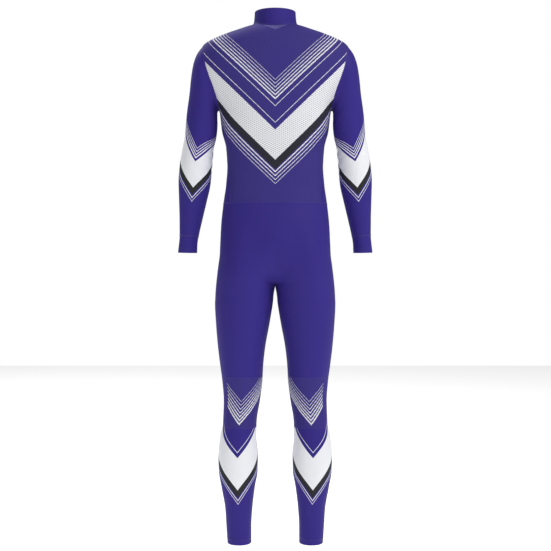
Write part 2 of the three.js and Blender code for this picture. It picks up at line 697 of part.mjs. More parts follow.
const normals = sharedNormals(panels);
const suit = new THREE.Group();
for (const panel of panels) {
  const geometry = clothGeometry(panel.faces, normals);
  if (panel.paired) {
    suit.add(namedMesh(`${panel.name}_right`, geometry, panel.material));
    suit.add(namedMesh(`${panel.name}_left`, mirroredGeometry(geometry), panel.material));
  } else {
    suit.add(namedMesh(panel.name, geometry, panel.material));
  }
}
suit.add(zipHardware(zipRows));

export default suit;
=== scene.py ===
"""Looks of a one-piece race suit in stretch cloth, hollow, in the form that it has when it is worn.

Metres, +Z up, +X towards the wearer's right hand, +Y the way the wearer faces. Each cloth piece is a
thin shell on the form that its sewn pieces share, with its knit, its printed chevrons and its soft
folds. Seams, hem stitches and zip teeth are meshes of their own.
"""

import json
import logging
import math
from bisect import bisect_left
from collections.abc import Callable, Sequence
from dataclasses import dataclass, field
from enum import Enum
from functools import lru_cache

import bmesh
import bpy
from mathutils import Matrix, Vector

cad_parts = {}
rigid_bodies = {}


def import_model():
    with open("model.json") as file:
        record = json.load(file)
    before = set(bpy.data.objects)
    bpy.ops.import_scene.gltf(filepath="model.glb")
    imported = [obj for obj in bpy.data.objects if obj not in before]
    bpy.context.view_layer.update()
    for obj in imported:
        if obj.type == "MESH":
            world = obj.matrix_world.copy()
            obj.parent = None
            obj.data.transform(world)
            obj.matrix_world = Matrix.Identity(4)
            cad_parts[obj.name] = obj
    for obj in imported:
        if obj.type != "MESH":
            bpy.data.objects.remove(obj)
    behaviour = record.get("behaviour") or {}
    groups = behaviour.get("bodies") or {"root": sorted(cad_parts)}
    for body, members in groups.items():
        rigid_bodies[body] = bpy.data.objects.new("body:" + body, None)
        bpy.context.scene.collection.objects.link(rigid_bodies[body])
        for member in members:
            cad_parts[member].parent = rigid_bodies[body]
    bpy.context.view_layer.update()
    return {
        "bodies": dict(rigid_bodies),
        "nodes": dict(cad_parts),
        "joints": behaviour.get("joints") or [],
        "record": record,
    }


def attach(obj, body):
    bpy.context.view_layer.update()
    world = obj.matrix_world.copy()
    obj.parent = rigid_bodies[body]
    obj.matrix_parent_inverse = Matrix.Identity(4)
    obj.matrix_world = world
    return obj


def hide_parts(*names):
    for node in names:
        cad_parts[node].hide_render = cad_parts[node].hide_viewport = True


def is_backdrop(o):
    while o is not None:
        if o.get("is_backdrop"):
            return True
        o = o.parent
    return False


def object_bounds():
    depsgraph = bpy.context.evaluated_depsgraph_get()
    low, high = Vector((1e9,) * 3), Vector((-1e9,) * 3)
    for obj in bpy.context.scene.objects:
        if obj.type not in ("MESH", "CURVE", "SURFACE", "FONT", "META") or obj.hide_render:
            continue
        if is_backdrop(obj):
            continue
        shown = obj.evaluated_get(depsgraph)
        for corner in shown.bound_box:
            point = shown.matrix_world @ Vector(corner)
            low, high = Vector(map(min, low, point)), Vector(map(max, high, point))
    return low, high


SUIT_BODY = "suit"
TAB_BODY = "pull_tab"

# Heights on the trunk and the legs, from the level of the neck's middle.
SHOULDER_POINT = -0.060
UNDERARM = -0.240
WAIST_SEAM = -0.501
SEAT_TOP = -0.540
SEAT_TURN = -0.640
CROTCH = -0.726
KNEE_TOP = -0.983
KNEE_BOTTOM = -1.120
ANKLE_HEM = -1.445

# Half the armhole's depth, then places along the sleeve from its armhole.
ARMHOLE_REACH = 0.062
CUFF_SEAM = 0.518
SLEEVE_LENGTH = 0.576
CAP_BLEND = 0.150

# How square the leg's ring is, then shares of the way round it.
LEG_SQUARENESS = 2.1
SEAM_SPREAD = 0.3
BACK_SHARE = 7 / 16
KNEE_MESH_SHARE = 6 / 16

# Half the zip's width, how far it is to a share of 1 beside it, and each leg's lap at the middle seam.
ZIP_HALF_WIDTH = 0.005
ZIP_SIDE_WIDTH = 0.010
SEAM_LAP = 0.0004

# How close vertices are merged on cloth and on finer pieces, and the edges that count as sharp or flat.
CLOTH_MERGE = 1e-5
FINE_MERGE = 1e-6
SHARP_ANGLE = math.radians(50)
FLAT_ANGLE = math.radians(3)

Place = Callable[[float, float], Vector]


def clamped(value: float, low: float = 0.0, high: float = 1.0) -> float:
    """Returns value, kept between low and high."""
    return max(low, min(high, value))


def eased(value: float) -> float:
    """Returns a smooth step from 0 to 1 as value goes from 0 to 1."""
    part = clamped(value)
    return part * part * (3 - 2 * part)


def mixed(first: float, second: float, part: float) -> float:
    """Returns the value that lies part of the way from first to second."""
    return first + (second - first) * part


def spaced(start: float, end: float, count: int) -> list[float]:
    """Returns count + 1 even values from start to end."""
    return [mixed(start, end, index / count) for index in range(count + 1)]


def running_lengths(points: Sequence[Sequence[float]]) -> list[float]:
    """Measures along a line of points.

    Args:
        points: the points in order.

    Returns:
        The length of the line from its first point to each of them.
    """
    lengths = [0.0]
    for before, after in zip(points, points[1:]):
        lengths.append(lengths[-1] + math.dist(before, after))
    return lengths


def step_at(lengths: Sequence[float], wanted: float) -> tuple[int, float]:
    """Finds a length on a line.

    Args:
        lengths: the line's running lengths.
        wanted: the length to find.

    Returns:
        The number of the point after it, and the part of the way there from the point before.
    """
    step = bisect_left(lengths, wanted, 1, len(lengths) - 1)
    span = max(1e-9, lengths[step] - lengths[step - 1])
    return step, (wanted - lengths[step - 1]) / span


class Profile:
    """A short table of sizes, read smoothly between its rows without overshooting them."""

    def __init__(self, columns: str, rows: Sequence[Sequence[float]]) -> None:
        """Keeps the table.

        Args:
            columns: the names of the columns, the first one being the place along the piece.
            rows: one row of sizes for each section, in metres but for squareness.
        """
        self.columns = columns.split()[1:]
        self.rows = rows
        self.order = 1 if rows[-1][0] > rows[0][0] else -1
        self.read = lru_cache(maxsize=None)(self._read)

    def _slope(self, index: int, column: int) -> float:
        """Returns the slope of a column between a row and the next."""
        here, there = self.rows[index], self.rows[index + 1]
        return (there[column] - here[column]) / ((there[0] - here[0]) * self.order)

    def _tangent(self, index: int, column: int) -> float:
        """Finds a column's slope at a row, level where the column turns.

        Args:
            index: the row's number.
            column: the column's number.

        Returns:
            The slope.
        """
        if index == 0:
            return self._slope(0, column)
        if index == len(self.rows) - 1:
            return self._slope(index - 1, column)
        before, after = self._slope(index - 1, column), self._slope(index, column)
        return 0.0 if before * after <= 0 else 2 * before * after / (before + after)

    def _read(self, place: float) -> dict[str, float]:
        """Reads every column at one place.

        Args:
            place: the place along the piece, in the first column's terms.

        Returns:
            The columns' names and values.
        """
        starts = [row[0] * self.order for row in self.rows]
        wanted = clamped(place * self.order, starts[0], starts[-1])
        index = 0
        while index < len(self.rows) - 2 and wanted > starts[index + 1]:
            index += 1
        span = starts[index + 1] - starts[index]
        part = (wanted - starts[index]) / span
        rest = 1 - part
        values = {}
        for column, name in enumerate(self.columns, 1):
            values[name] = (
                self.rows[index][column] * (1 + 2 * part) * rest**2
                + self._tangent(index, column) * span * part * rest**2
                + self.rows[index + 1][column] * part**2 * (3 - 2 * part)
                - self._tangent(index + 1, column) * span * part**2 * rest
            )
        return values


TRUNK = Profile(
    "height half_width back front middle squareness back_lift front_lift",
    (
        (0.000, 0.062, -0.058, 0.066, 0.002, 2.00, -0.013, -0.045),
        (-0.008, 0.086, -0.068, 0.067, 0.001, 2.00, -0.011, -0.044),
        (-0.017, 0.110, -0.076, 0.068, 0.000, 2.05, -0.009, -0.042),
        (-0.025, 0.132, -0.081, 0.069, -0.002, 2.10, -0.007, -0.040),
        (-0.034, 0.154, -0.086, 0.071, -0.004, 2.15, -0.005, -0.038),
        (-0.042, 0.172, -0.090, 0.073, -0.006, 2.20, -0.004, -0.036),
        (-0.060, 0.200, -0.097, 0.079, -0.008, 2.30, 0.000, -0.030),
        (-0.090, 0.214, -0.104, 0.088, -0.008, 2.40, 0.000, -0.020),
        (-0.120, 0.218, -0.108, 0.095, -0.007, 2.45, 0.000, -0.008),
        (-0.150, 0.209, -0.109, 0.100, -0.006, 2.50, 0.000, -0.002),
        (-0.184, 0.188, -0.109, 0.104, -0.004, 2.50, 0.000, 0.000),
        (-0.214, 0.169, -0.107, 0.105, -0.003, 2.50, 0.000, 0.000),
        (-0.240, 0.156, -0.104, 0.104, -0.002, 2.50, 0.000, 0.000),
        (-0.300, 0.148, -0.094, 0.099, 0.000, 2.45, 0.000, 0.000),
        (-0.344, 0.137, -0.084, 0.094, 0.002, 2.40, 0.000, 0.000),
        (-0.395, 0.134, -0.076, 0.090, 0.003, 2.40, 0.000, 0.000),
        (-0.440, 0.137, -0.075, 0.088, 0.003, 2.40, 0.000, 0.000),
        (-0.501, 0.145, -0.086, 0.087, 0.000, 2.40, 0.000, 0.000),
        (-0.560, 0.151, -0.106, 0.087, -0.006, 2.35, 0.000, 0.000),
        (-0.640, 0.155, -0.122, 0.086, -0.012, 2.30, 0.000, 0.000),
        (-0.690, 0.161, -0.120, 0.084, -0.012, 2.25, 0.000, 0.000),
        (-0.726, 0.165, -0.112, 0.082, -0.012, 2.20, 0.000, 0.000),
    ),
)
SIDE_SEAM = Profile(
    "height across",
    ((-0.360, 0.137), (-0.395, 0.132), (-0.420, 0.127), (-0.460, 0.124), (-0.501, 0.123)),
)
SIDE_SEAM_TURN = -0.360
LEG = Profile(
    "height outer inner back front middle",
    (
        (-0.540, 0.149, 0.000, -0.101, 0.087, -0.004),
        (-0.590, 0.153, 0.000, -0.117, 0.087, -0.009),
        (-0.640, 0.155, 0.000, -0.124, 0.086, -0.012),
        (-0.690, 0.161, 0.000, -0.120, 0.084, -0.012),
        (-0.726, 0.165, 0.000, -0.112, 0.082, -0.012),
        (-0.750, 0.167, 0.0034, -0.106, 0.081, -0.012),
        (-0.780, 0.168, 0.007, -0.101, 0.080, -0.010),
        (-0.840, 0.165, 0.017, -0.093, 0.077, -0.008),
        (-0.900, 0.160, 0.028, -0.084, 0.072, -0.006),
        (-0.950, 0.154, 0.0336, -0.075, 0.066, -0.004),
        (-1.000, 0.1475, 0.0366, -0.067, 0.060, -0.003),
        (-1.050, 0.144, 0.043, -0.062, 0.055, -0.004),
        (-1.110, 0.146, 0.052, -0.067, 0.046, -0.012),
        (-1.150, 0.1535, 0.053, -0.076, 0.041, -0.019),
        (-1.195, 0.158, 0.0484, -0.081, 0.036, -0.024),
        (-1.240, 0.157, 0.049, -0.079, 0.031, -0.025),
        (-1.290, 0.149, 0.057, -0.070, 0.026, -0.022),
        (-1.350, 0.139, 0.064, -0.059, 0.021, -0.017),
        (-1.400, 0.136, 0.067, -0.054, 0.020, -0.014),
        (-1.445, 0.133, 0.067, -0.053, 0.024, -0.012),
    ),
)
SEAT = Profile(
    "height fill_across back_fill front_fill back_dip",
    (
        (-0.600, 0.052, 0.0000, 0.000, 0.0000),
        (-0.640, 0.050, 0.0055, 0.003, 0.0090),
        (-0.660, 0.046, 0.0080, 0.005, 0.0105),
        (-0.680, 0.041, 0.0090, 0.007, 0.0070),
        (-0.700, 0.033, 0.0090, 0.007, 0.0000),
        (-0.726, 0.028, 0.0000, 0.000, 0.0000),
    ),
)
SEAT_FILL_WIDTH = 0.018
SEAT_DIP_WIDTH = 0.020
SLEEVE = Profile(
    "along outer_x outer_z inner_x inner_z back front",
    (
        (0.000, 0.200, -0.060, 0.156, -0.240, -0.068, 0.056),
        (0.030, 0.218, -0.085, 0.1605, -0.242, -0.068, 0.056),
        (0.060, 0.229, -0.116, 0.162, -0.249, -0.066, 0.054),
        (0.095, 0.2355, -0.155, 0.162, -0.262, -0.062, 0.051),
        (0.130, 0.2395, -0.193, 0.1615, -0.278, -0.059, 0.049),
        (0.165, 0.2445, -0.228, 0.1625, -0.297, -0.056, 0.047),
        (0.205, 0.249, -0.268, 0.166, -0.321, -0.053, 0.044),
        (0.245, 0.252, -0.308, 0.172, -0.345, -0.050, 0.042),
        (0.285, 0.260, -0.350, 0.175, -0.377, -0.047, 0.041),
        (0.325, 0.267, -0.392, 0.178, -0.409, -0.043, 0.041),
        (0.370, 0.271, -0.438, 0.182, -0.448, -0.037, 0.043),
        (0.420, 0.270, -0.490, 0.193, -0.496, -0.029, 0.044),
        (0.470, 0.269, -0.541, 0.205, -0.545, -0.020, 0.043),
        (0.518, 0.269, -0.589, 0.2155, -0.591, -0.012, 0.042),
        (0.545, 0.271, -0.612, 0.219, -0.614, -0.009, 0.042),
        (0.576, 0.274, -0.637, 0.220, -0.638, -0.008, 0.044),
    ),
)
COLLAR = Profile(
    "rise half_width back front middle",
    (
        (0.00, 0.0620, -0.058, 0.0660, 0.002),
        (0.25, 0.0595, -0.057, 0.0645, 0.002),
        (1.00, 0.0570, -0.055, 0.0610, 0.002),
    ),
)
COLLAR_BACK_RISE = 0.036
COLLAR_FRONT_RISE = 0.004
COLLAR_BACK_DROP = 0.013
COLLAR_FRONT_DROP = 0.045


@dataclass(frozen=True)
class Section:
    """A level section of the suit: a rounded outline about its middle depth."""

    half_width: float
    back: float
    front: float
    middle: float
    squareness: float = 2.0
    back_lift: float = 0.0
    front_lift: float = 0.0

    def point(self, angle: float) -> tuple[float, float]:
        """Finds a point of the outline.

        Args:
            angle: 0 at the middle back, a quarter turn at the wearer's right, a half turn in front.

        Returns:
            How far across and how far forward the point is.
        """
        side, ahead = math.sin(angle), -math.cos(angle)
        depth = self.middle - self.back if ahead < 0 else self.front - self.middle
        power = self.squareness
        reach = ((abs(side) / self.half_width) ** power + (abs(ahead) / depth) ** power) ** (-1 / power)
        return reach * side, self.middle + reach * ahead

    def angle_across(self, across: float, front: bool) -> float:
        """Finds the outline's point that is so far across.

        Args:
            across: how far across the point is.
            front: whether it is in front, not at the back.

        Returns:
            The point's angle.
        """
        depth = self.front - self.middle if front else self.middle - self.back
        share = abs(across) / self.half_width
        ahead = depth * (1 - share**self.squareness) ** (1 / self.squareness)
        return math.atan2(across, -ahead if front else ahead)

    def angle_deep(self, reach: float, front: bool) -> float:
        """Finds the outline's point that is so far from the middle depth.

        Args:
            reach: how far behind or in front of the middle depth the point is.
            front: whether it is in front, not at the back.

        Returns:
            The point's angle.
        """
        depth = self.front - self.middle if front else self.middle - self.back
        across = self.half_width * (1 - (reach / depth) ** self.squareness) ** (1 / self.squareness)
        return math.atan2(across, -reach if front else reach)


@lru_cache(maxsize=None)
def trunk_section(height: float) -> Section:
    """Returns the trunk's section at a height."""
    return Section(**TRUNK.read(height))


@lru_cache(maxsize=None)
def leg_section(height: float) -> tuple[float, Section]:
    """Finds the right leg's section.

    Args:
        height: the height, in metres below or above the neck's middle.

    Returns:
        How far across its middle is, and the section about that middle.
    """
    form = LEG.read(height)
    half_width = (form["outer"] - form["inner"]) / 2
    middle = (form["outer"] + form["inner"]) / 2
    return middle, Section(half_width, form["back"], form["front"], form["middle"], LEG_SQUARENESS)


ARC_STEPS = 64


@lru_cache(maxsize=None)
def arc_lengths(height: float, start: float, end: float) -> tuple[float, ...]:
    """Measures along a trunk section.

    Args:
        height: the section's height.
        start: the angle where the stretch starts.
        end: the angle where the stretch ends.

    Returns:
        The length from the start to each of the even steps of angle.
    """
    section = trunk_section(height)
    return tuple(running_lengths([section.point(angle) for angle in spaced(start, end, ARC_STEPS)]))


def even_angle(height: float, start: float, end: float, share: float) -> float:
    """Finds the angle at a share of a stretch's length.

    Args:
        height: the trunk section's height.
        start: the angle where the stretch starts.
        end: the angle where the stretch ends.
        share: the share of the length, from 0 to 1.

    Returns:
        The angle there.
    """
    lengths = arc_lengths(height, start, end)
    step, part = step_at(lengths, lengths[-1] * clamped(share))
    return mixed(start, end, (step - 1 + part) / ARC_STEPS)


def trunk_point(height: float, angle: float) -> Vector:
    """Finds a point of the trunk, with the neckline's drop at its back and front.

    Args:
        height: the height, in metres below or above the neck's middle.
        angle: 0 at the middle back, a quarter turn at the wearer's right.

    Returns:
        The point.
    """
    section = trunk_section(height)
    across, depth = section.point(angle)
    lift = section.back_lift if math.cos(angle) > 0 else section.front_lift
    return Vector((across, depth, height + lift * math.cos(angle) ** 2))


@lru_cache(maxsize=None)
def seam_angles(height: float) -> tuple[float, float]:
    """Finds where the back panel ends and where the front starts.

    Args:
        height: the height, in metres below or above the neck's middle.

    Returns:
        The two angles, which differ only beside the armhole.
    """
    section = trunk_section(height)
    side = math.pi / 2
    if UNDERARM < height < SHOULDER_POINT:
        level = (2 * height - SHOULDER_POINT - UNDERARM) / (SHOULDER_POINT - UNDERARM)
        reach = ARMHOLE_REACH * math.sqrt(max(0.0, 1 - level * level))
        return section.angle_deep(reach, False), section.angle_deep(reach, True)
    across = SIDE_SEAM.read(height)["across"]
    if height >= SIDE_SEAM_TURN or across >= section.half_width:
        return side, side
    return (section.angle_across(across, False),) * 2


def back_point(share: float, height: float) -> Vector:
    """Finds a point of the back panel.

    Args:
        share: from the wearer's left (0) to the right (1).
        height: the height, in metres below or above the neck's middle.

    Returns:
        The point.
    """
    along = 2 * share - 1
    angle = even_angle(height, 0.0, seam_angles(height)[0], abs(along))
    return trunk_point(height, math.copysign(angle, along))


def back_across(share: float, height: float) -> float:
    """Returns how far round the back a point is from the middle line, in metres of cloth."""
    return (2 * share - 1) * arc_lengths(height, 0.0, seam_angles(height)[0])[-1]


def front_point(share: float, height: float) -> Vector:
    """Finds a point of the right front.

    Args:
        share: from its side seam (0) to the zip's edge (1).
        height: the height, in metres below or above the neck's middle.

    Returns:
        The point.
    """
    start = seam_angles(height)[1]
    zip_angle = trunk_section(height).angle_across(ZIP_HALF_WIDTH, True)
    return trunk_point(height, even_angle(height, start, zip_angle, share))


def collar_section(rise: float) -> Section:
    """Returns the collar's section at a share of its rise."""
    return Section(**COLLAR.read(rise))


def collar_place(rise: float, angle: float) -> Vector:
    """Finds a point of the collar.

    Args:
        rise: the share of its height, from the seam (0) to the rim (1).
        angle: 0 at the middle back, a quarter turn at the wearer's right.

    Returns:
        The point.
    """
    across, depth = collar_section(rise).point(angle)
    turned = math.cos(angle) ** 2
    behind = math.cos(angle) > 0
    seam = -(COLLAR_BACK_DROP if behind else COLLAR_FRONT_DROP) * turned
    rim = COLLAR_BACK_RISE + (0.0 if behind else (COLLAR_FRONT_RISE - COLLAR_BACK_RISE) * turned)
    return Vector((across, depth, mixed(seam, rim, rise)))


def collar_point(share: float, rise: float) -> Vector:
    """Returns a point of the collar, from the zip round the back to the zip again."""
    end = trunk_section(0.0).angle_across(ZIP_HALF_WIDTH, True)
    return collar_place(rise, end * (2 * share - 1))


def zip_point(share: float, place: float) -> Vector:
    """Returns a point of the zip's strip.

    Args:
        share: from the wearer's right edge (0) to the left (1).
        place: the collar's rise where it is above 0, and the trunk's height where it is below.

    Returns:
        The point.
    """
    across = ZIP_HALF_WIDTH * (1 - 2 * share)
    if place > 0:
        return collar_place(place, collar_section(place).angle_across(across, True))
    return trunk_point(place, trunk_section(place).angle_across(across, True))


def beside_zip(share: float, height: float) -> Vector:
    """Returns a point of the right front, from the zip's edge (0) to a centimetre beside it (1)."""
    across = ZIP_HALF_WIDTH + share * ZIP_SIDE_WIDTH
    return trunk_point(height, trunk_section(height).angle_across(across, True))


@lru_cache(maxsize=None)
def sleeve_ring(along: float, turn: float) -> Vector:
    """Finds a point of the right sleeve's own ring.

    Args:
        along: the place along the sleeve.
        turn: 0 on its outer side and a half turn inside.

    Returns:
        The point.
    """
    form = SLEEVE.read(along)
    outward = Vector((form["outer_x"] - form["inner_x"], 0.0, form["outer_z"] - form["inner_z"])) / 2
    middle = Vector((form["outer_x"] + form["inner_x"], 0.0, form["outer_z"] + form["inner_z"])) / 2
    middle.y = (form["back"] + form["front"]) / 2
    reach = (form["front"] - form["back"]) / 2
    return middle + outward * math.cos(turn) + Vector((0.0, reach * math.sin(turn), 0.0))


@lru_cache(maxsize=None)
def armhole_bend(turn: float) -> Vector:
    """Finds how far the armhole's seam lies from the sleeve's own first ring.

    Args:
        turn: 0 on the sleeve's outer side and a half turn inside.

    Returns:
        The way from the ring to the seam.
    """
    middle, half = (SHOULDER_POINT + UNDERARM) / 2, (SHOULDER_POINT - UNDERARM) / 2
    height = middle + half * math.cos(turn)
    section = trunk_section(height)
    reach = ARMHOLE_REACH * abs(math.sin(turn))
    angle = section.angle_deep(reach, math.sin(turn) >= 0)
    return trunk_point(height, angle) - sleeve_ring(0.0, turn)


def sleeve_point(share: float, along: float) -> Vector:
    """Returns a point of the right sleeve, round from its outer side by the front."""
    turn = 2 * math.pi * (share % 1.0)
    return sleeve_ring(along, turn) + armhole_bend(turn) * eased((CAP_BLEND - along) / CAP_BLEND)


def leg_share(height: float, part: float) -> float:
    """Finds how far the half seat has closed into the leg's ring.

    Args:
        height: the height, in metres below or above the neck's middle.
        part: the share of the way round the leg.

    Returns:
        From 0, the seat alone, to 1, the leg's ring alone.
    """
    down = clamped((SEAT_TURN - height) / (SEAT_TURN - CROTCH))
    at_seam = 1 - math.sqrt(1 - down * down)
    at_side = eased((SEAT_TOP - height) / (SEAT_TOP - CROTCH))
    return mixed(at_seam, at_side, eased(min(part, 1 - part) / SEAM_SPREAD))


def leg_ring(height: float, part: float) -> Vector:
    """Finds a point of the right leg's ring.

    Args:
        height: the height, in metres below or above the neck's middle.
        part: the share of the way round, from its inner side by the back.

    Returns:
        The point.
    """
    middle, section = leg_section(height)
    across, depth = section.point(2 * math.pi * part - math.pi / 2)
    return Vector((middle + across, depth, height))


def waist_angle(part: float) -> float:
    """Finds an angle of the half waist, whose back and front are each even.

    Args:
        part: the share of the way round, from the middle back to the middle front.

    Returns:
        The angle.
    """
    seam = seam_angles(WAIST_SEAM)[0]
    if part <= BACK_SHARE:
        return even_angle(WAIST_SEAM, 0.0, seam, part / BACK_SHARE)
    return even_angle(WAIST_SEAM, seam, math.pi, (part - BACK_SHARE) / (1 - BACK_SHARE))


def ease_seat(point: Vector, height: float) -> Vector:
    """Fills the seat out beside its middle line, which dips behind.

    Args:
        point: a point of the seat, which is moved.
        height: the height, in metres below or above the neck's middle.

    Returns:
        The same point.
    """
    form = SEAT.read(height)
    fill = math.exp(-(((point.x - form["fill_across"]) / SEAT_FILL_WIDTH) ** 2))
    dip = math.exp(-((point.x / SEAT_DIP_WIDTH) ** 2))
    if point.y < trunk_section(height).middle:
        point.y += form["back_dip"] * dip - form["back_fill"] * fill
    else:
        point.y += form["front_fill"] * fill
    return point


def leg_point(part: float, height: float) -> Vector:
    """Finds a point of the right leg, with its half of the seat.

    Args:
        part: the share of the way round, from the middle back or the inner side.
        height: the height, in metres below or above the neck's middle.

    Returns:
        The point.
    """
    if height <= CROTCH:
        return leg_ring(height, part)
    settle = eased((WAIST_SEAM - height) / (WAIST_SEAM - SEAT_TURN))
    angle = mixed(waist_angle(part), even_angle(height, 0.0, math.pi, part), settle)
    point = trunk_point(height, angle).lerp(leg_ring(height, part), leg_share(height, part))
    if part in (0.0, 1.0):
        point.x = -SEAM_LAP
    return ease_seat(point, height)


@dataclass(frozen=True)
class Form:
    """A surface of the suit that sewing lies on, with the lowest and highest of its places."""

    point: Place
    low: float
    high: float
    runs_down: bool = False
    step: float = 0.0015

    def outward(self, share: float, place: float) -> Vector:
        """Finds the direction out of the cloth.

        Args:
            share: the share across the surface.
            place: the place along it.

        Returns:
            The unit normal.
        """
        after, before = min(1.0, share + self.step), max(0.0, share - self.step)
        across = self.point(after, place) - self.point(before, place)
        upper, lower = min(self.high, place + self.step), max(self.low, place - self.step)
        upright = self.point(share, upper) - self.point(share, lower)
        if self.runs_down:
            upright.negate()
        return across.cross(upright).normalized()


BACK_FORM = Form(back_point, WAIST_SEAM, 0.0)
ZIP_SIDE_FORM = Form(beside_zip, WAIST_SEAM, 0.0)
COLLAR_FORM = Form(collar_point, 0.0, 1.0)
SLEEVE_FORM = Form(sleeve_point, 0.0, SLEEVE_LENGTH, runs_down=True)
LEG_FORM = Form(leg_point, ANKLE_HEM, WAIST_SEAM)


class Signal:
    """A value that varies over a surface, worked on with Python's operators."""

    def __init__(self, tree: "Tree", socket: bpy.types.NodeSocket) -> None:
        """Wraps a socket of a tree."""
        self.tree = tree
        self.socket = socket

    def math(self, operation: str, *others: "Signal | float", clamp: bool = False) -> "Signal":
        """Adds one Math node.

        Args:
            operation: the node's operation.
            others: the values after this one.
            clamp: whether the result stays between 0 and 1.

        Returns:
            The node's result.
        """
        settings = {"operation": operation, "use_clamp": clamp}
        return self.tree.node("ShaderNodeMath", settings, dict(enumerate((self, *others)))).out()

    def __add__(self, other: "Signal | float") -> "Signal":
        """Returns the sum."""
        return self.math("ADD", other)

    def __radd__(self, other: float) -> "Signal":
        """Returns the sum with a number on the left."""
        return self.math("ADD", other)

    def __sub__(self, other: "Signal | float") -> "Signal":
        """Returns the difference."""
        return self.math("SUBTRACT", other)

    def __rsub__(self, other: float) -> "Signal":
        """Returns a number less this value."""
        return self.tree.node("ShaderNodeMath", {"operation": "SUBTRACT"}, {0: other, 1: self}).out()

    def __mul__(self, other: "Signal | float") -> "Signal":
        """Returns the product."""
        return self.math("MULTIPLY", other)

    def __rmul__(self, other: float) -> "Signal":
        """Returns the product with a number on the left."""
        return self.math("MULTIPLY", other)

    def __truediv__(self, other: "Signal | float") -> "Signal":
        """Returns the quotient."""
        return self.math("DIVIDE", other)

    def above(self, edge: "Signal | float", blur: float) -> "Signal":
        """Returns 1 where this value is over an edge and 0 under it, with a soft change of that width."""
        return ((self - edge) / blur + 0.5).math("ADD", 0.0, clamp=True)

    def between(self, low: "Signal | float", high: "Signal | float", blur: float) -> "Signal":
        """Returns 1 where this value is between two edges."""
        return self.above(low, blur) * (1 - self.above(high, blur))


class Node:
    """A shader node whose results are read by name or number."""

    def __init__(self, tree: "Tree", node: bpy.types.Node) -> None:
        """Wraps a node of a tree."""
        self.tree = tree
        self.node = node

    def out(self, name: str | int = 0) -> Signal:
        """Returns one of the node's results."""
        return Signal(self.tree, self.node.outputs[name])


class Tree:
    """A node tree whose nodes all come from one method."""

    def __init__(self, tree: bpy.types.NodeTree) -> None:
        """Takes a tree and empties it."""
        self.tree = tree
        self.tree.nodes.clear()

    def _give(self, socket: bpy.types.NodeSocket, value: object) -> None:
        """Links a socket to a signal or sets it to a plain value.

        Args:
            socket: the socket.
            value: the signal or the value.
        """
        if isinstance(value, Signal):
            self.tree.links.new(value.socket, socket)
        else:
            socket.default_value = value

    def node(self, kind: str, settings: dict[str, object], values: dict[str | int, object]) -> Node:
        """Adds a node.

        Args:
            kind: the node's type.
            settings: its properties, which are set first.
            values: what its sockets are set to or linked to, by name or number.

        Returns:
            The node.
        """
        node = self.tree.nodes.new(kind)
        for name, value in settings.items():
            setattr(node, name, value)
        for name, value in values.items():
            self._give(node.inputs[name], value)
        return Node(self, node)


class Graph(Tree):
    """The node tree of one material, with its Principled shader ready."""

    def __init__(self, name: str) -> None:
        """Makes a material with only a shader and its output.

        Args:
            name: the material's name.
        """
        self.material = bpy.data.materials.new(name)
        self.material.use_nodes = True
        super().__init__(self.material.node_tree)
        self.shader = self.node("ShaderNodeBsdfPrincipled", {}, {})
        self.node("ShaderNodeOutputMaterial", {}, {"Surface": self.shader.out("BSDF")})

    def mix(self, part: Signal | float, first: object, second: object) -> Signal:
        """Returns a colour that goes from the first to the second as part goes from 0 to 1."""
        return self.node("ShaderNodeMix", {"data_type": "RGBA"}, {0: part, 6: first, 7: second}).out(2)

    def map_place(self, uv_map: str) -> tuple[Signal, Signal]:
        """Reads a UV map of the piece.

        Args:
            uv_map: the map's name.

        Returns:
            The place across and the place along.
        """
        read = self.node("ShaderNodeUVMap", {"uv_map": uv_map}, {})
        parts = self.node("ShaderNodeSeparateXYZ", {}, {0: read.out()})
        return parts.out("X"), parts.out("Y")

    def noise(self, scale: float, detail: float) -> Signal:
        """Adds soft noise in the suit's own space.

        Args:
            scale: how fine it is.
            detail: how many finer layers it has.

        Returns:
            The noise, about a half.
        """
        place = self.node("ShaderNodeTexCoord", {}, {}).out("Object")
        values = {"Vector": place, "Scale": scale, "Detail": detail}
        return self.node("ShaderNodeTexNoise", {}, values).out(0)

    def bump(self, height: Signal, strength: float, distance: float) -> Signal:
        """Returns a normal that follows a height."""
        values = {"Strength": strength, "Distance": distance, "Height": height}
        return self.node("ShaderNodeBump", {}, values).out()

    def shade(self, **values: object) -> None:
        """Sets or links the shader's sockets, by their names with underscores."""
        for name, value in values.items():
            self._give(self.shader.node.inputs[name.replace("_", " ")], value)


Colour = tuple[float, float, float, float]
PURPLE: Colour = (0.0395, 0.0255, 0.2380, 1.0)
MESH_PURPLE: Colour = (0.0500, 0.0370, 0.2450, 1.0)
WHITE: Colour = (0.85, 0.86, 0.895, 1.0)
BLACK: Colour = (0.026, 0.026, 0.028, 1.0)
# Painted shade: the dark colours in the knit's holes stand for the unlit hollow inside of the suit seen
# through them.
HOLE_SHADE_ON_PURPLE: Colour = (0.026, 0.022, 0.090, 1.0)
HOLE_SHADE_ON_WHITE: Colour = (0.24, 0.24, 0.26, 1.0)
OPEN_VENT: Colour = (0.46, 0.44, 0.60, 1.0)
ZIP_TAPE: Colour = (0.030, 0.022, 0.140, 1.0)
ZIP_TEETH: Colour = (0.022, 0.021, 0.040, 1.0)
ZIP_METAL: Colour = (0.030, 0.030, 0.034, 1.0)
SEAM_THREAD: Colour = (0.040, 0.028, 0.215, 1.0)
HEM_THREAD: Colour = (0.037, 0.024, 0.210, 1.0)
FLOOR_TONES: tuple[Colour, Colour] = ((0.90, 0.90, 0.90, 1.0), (0.93, 0.93, 0.93, 1.0))
PLAIN_LIGHT: Colour = (1.0, 1.0, 1.0, 1.0)
CLOTH_MAP = "cloth"
PRINT_MAP = "print"


def toned(colour: Colour, factor: float) -> Colour:
    """Returns a colour made darker or lighter by a factor."""
    return tuple(min(1.0, value * factor) for value in colour[:3]) + (1.0,)


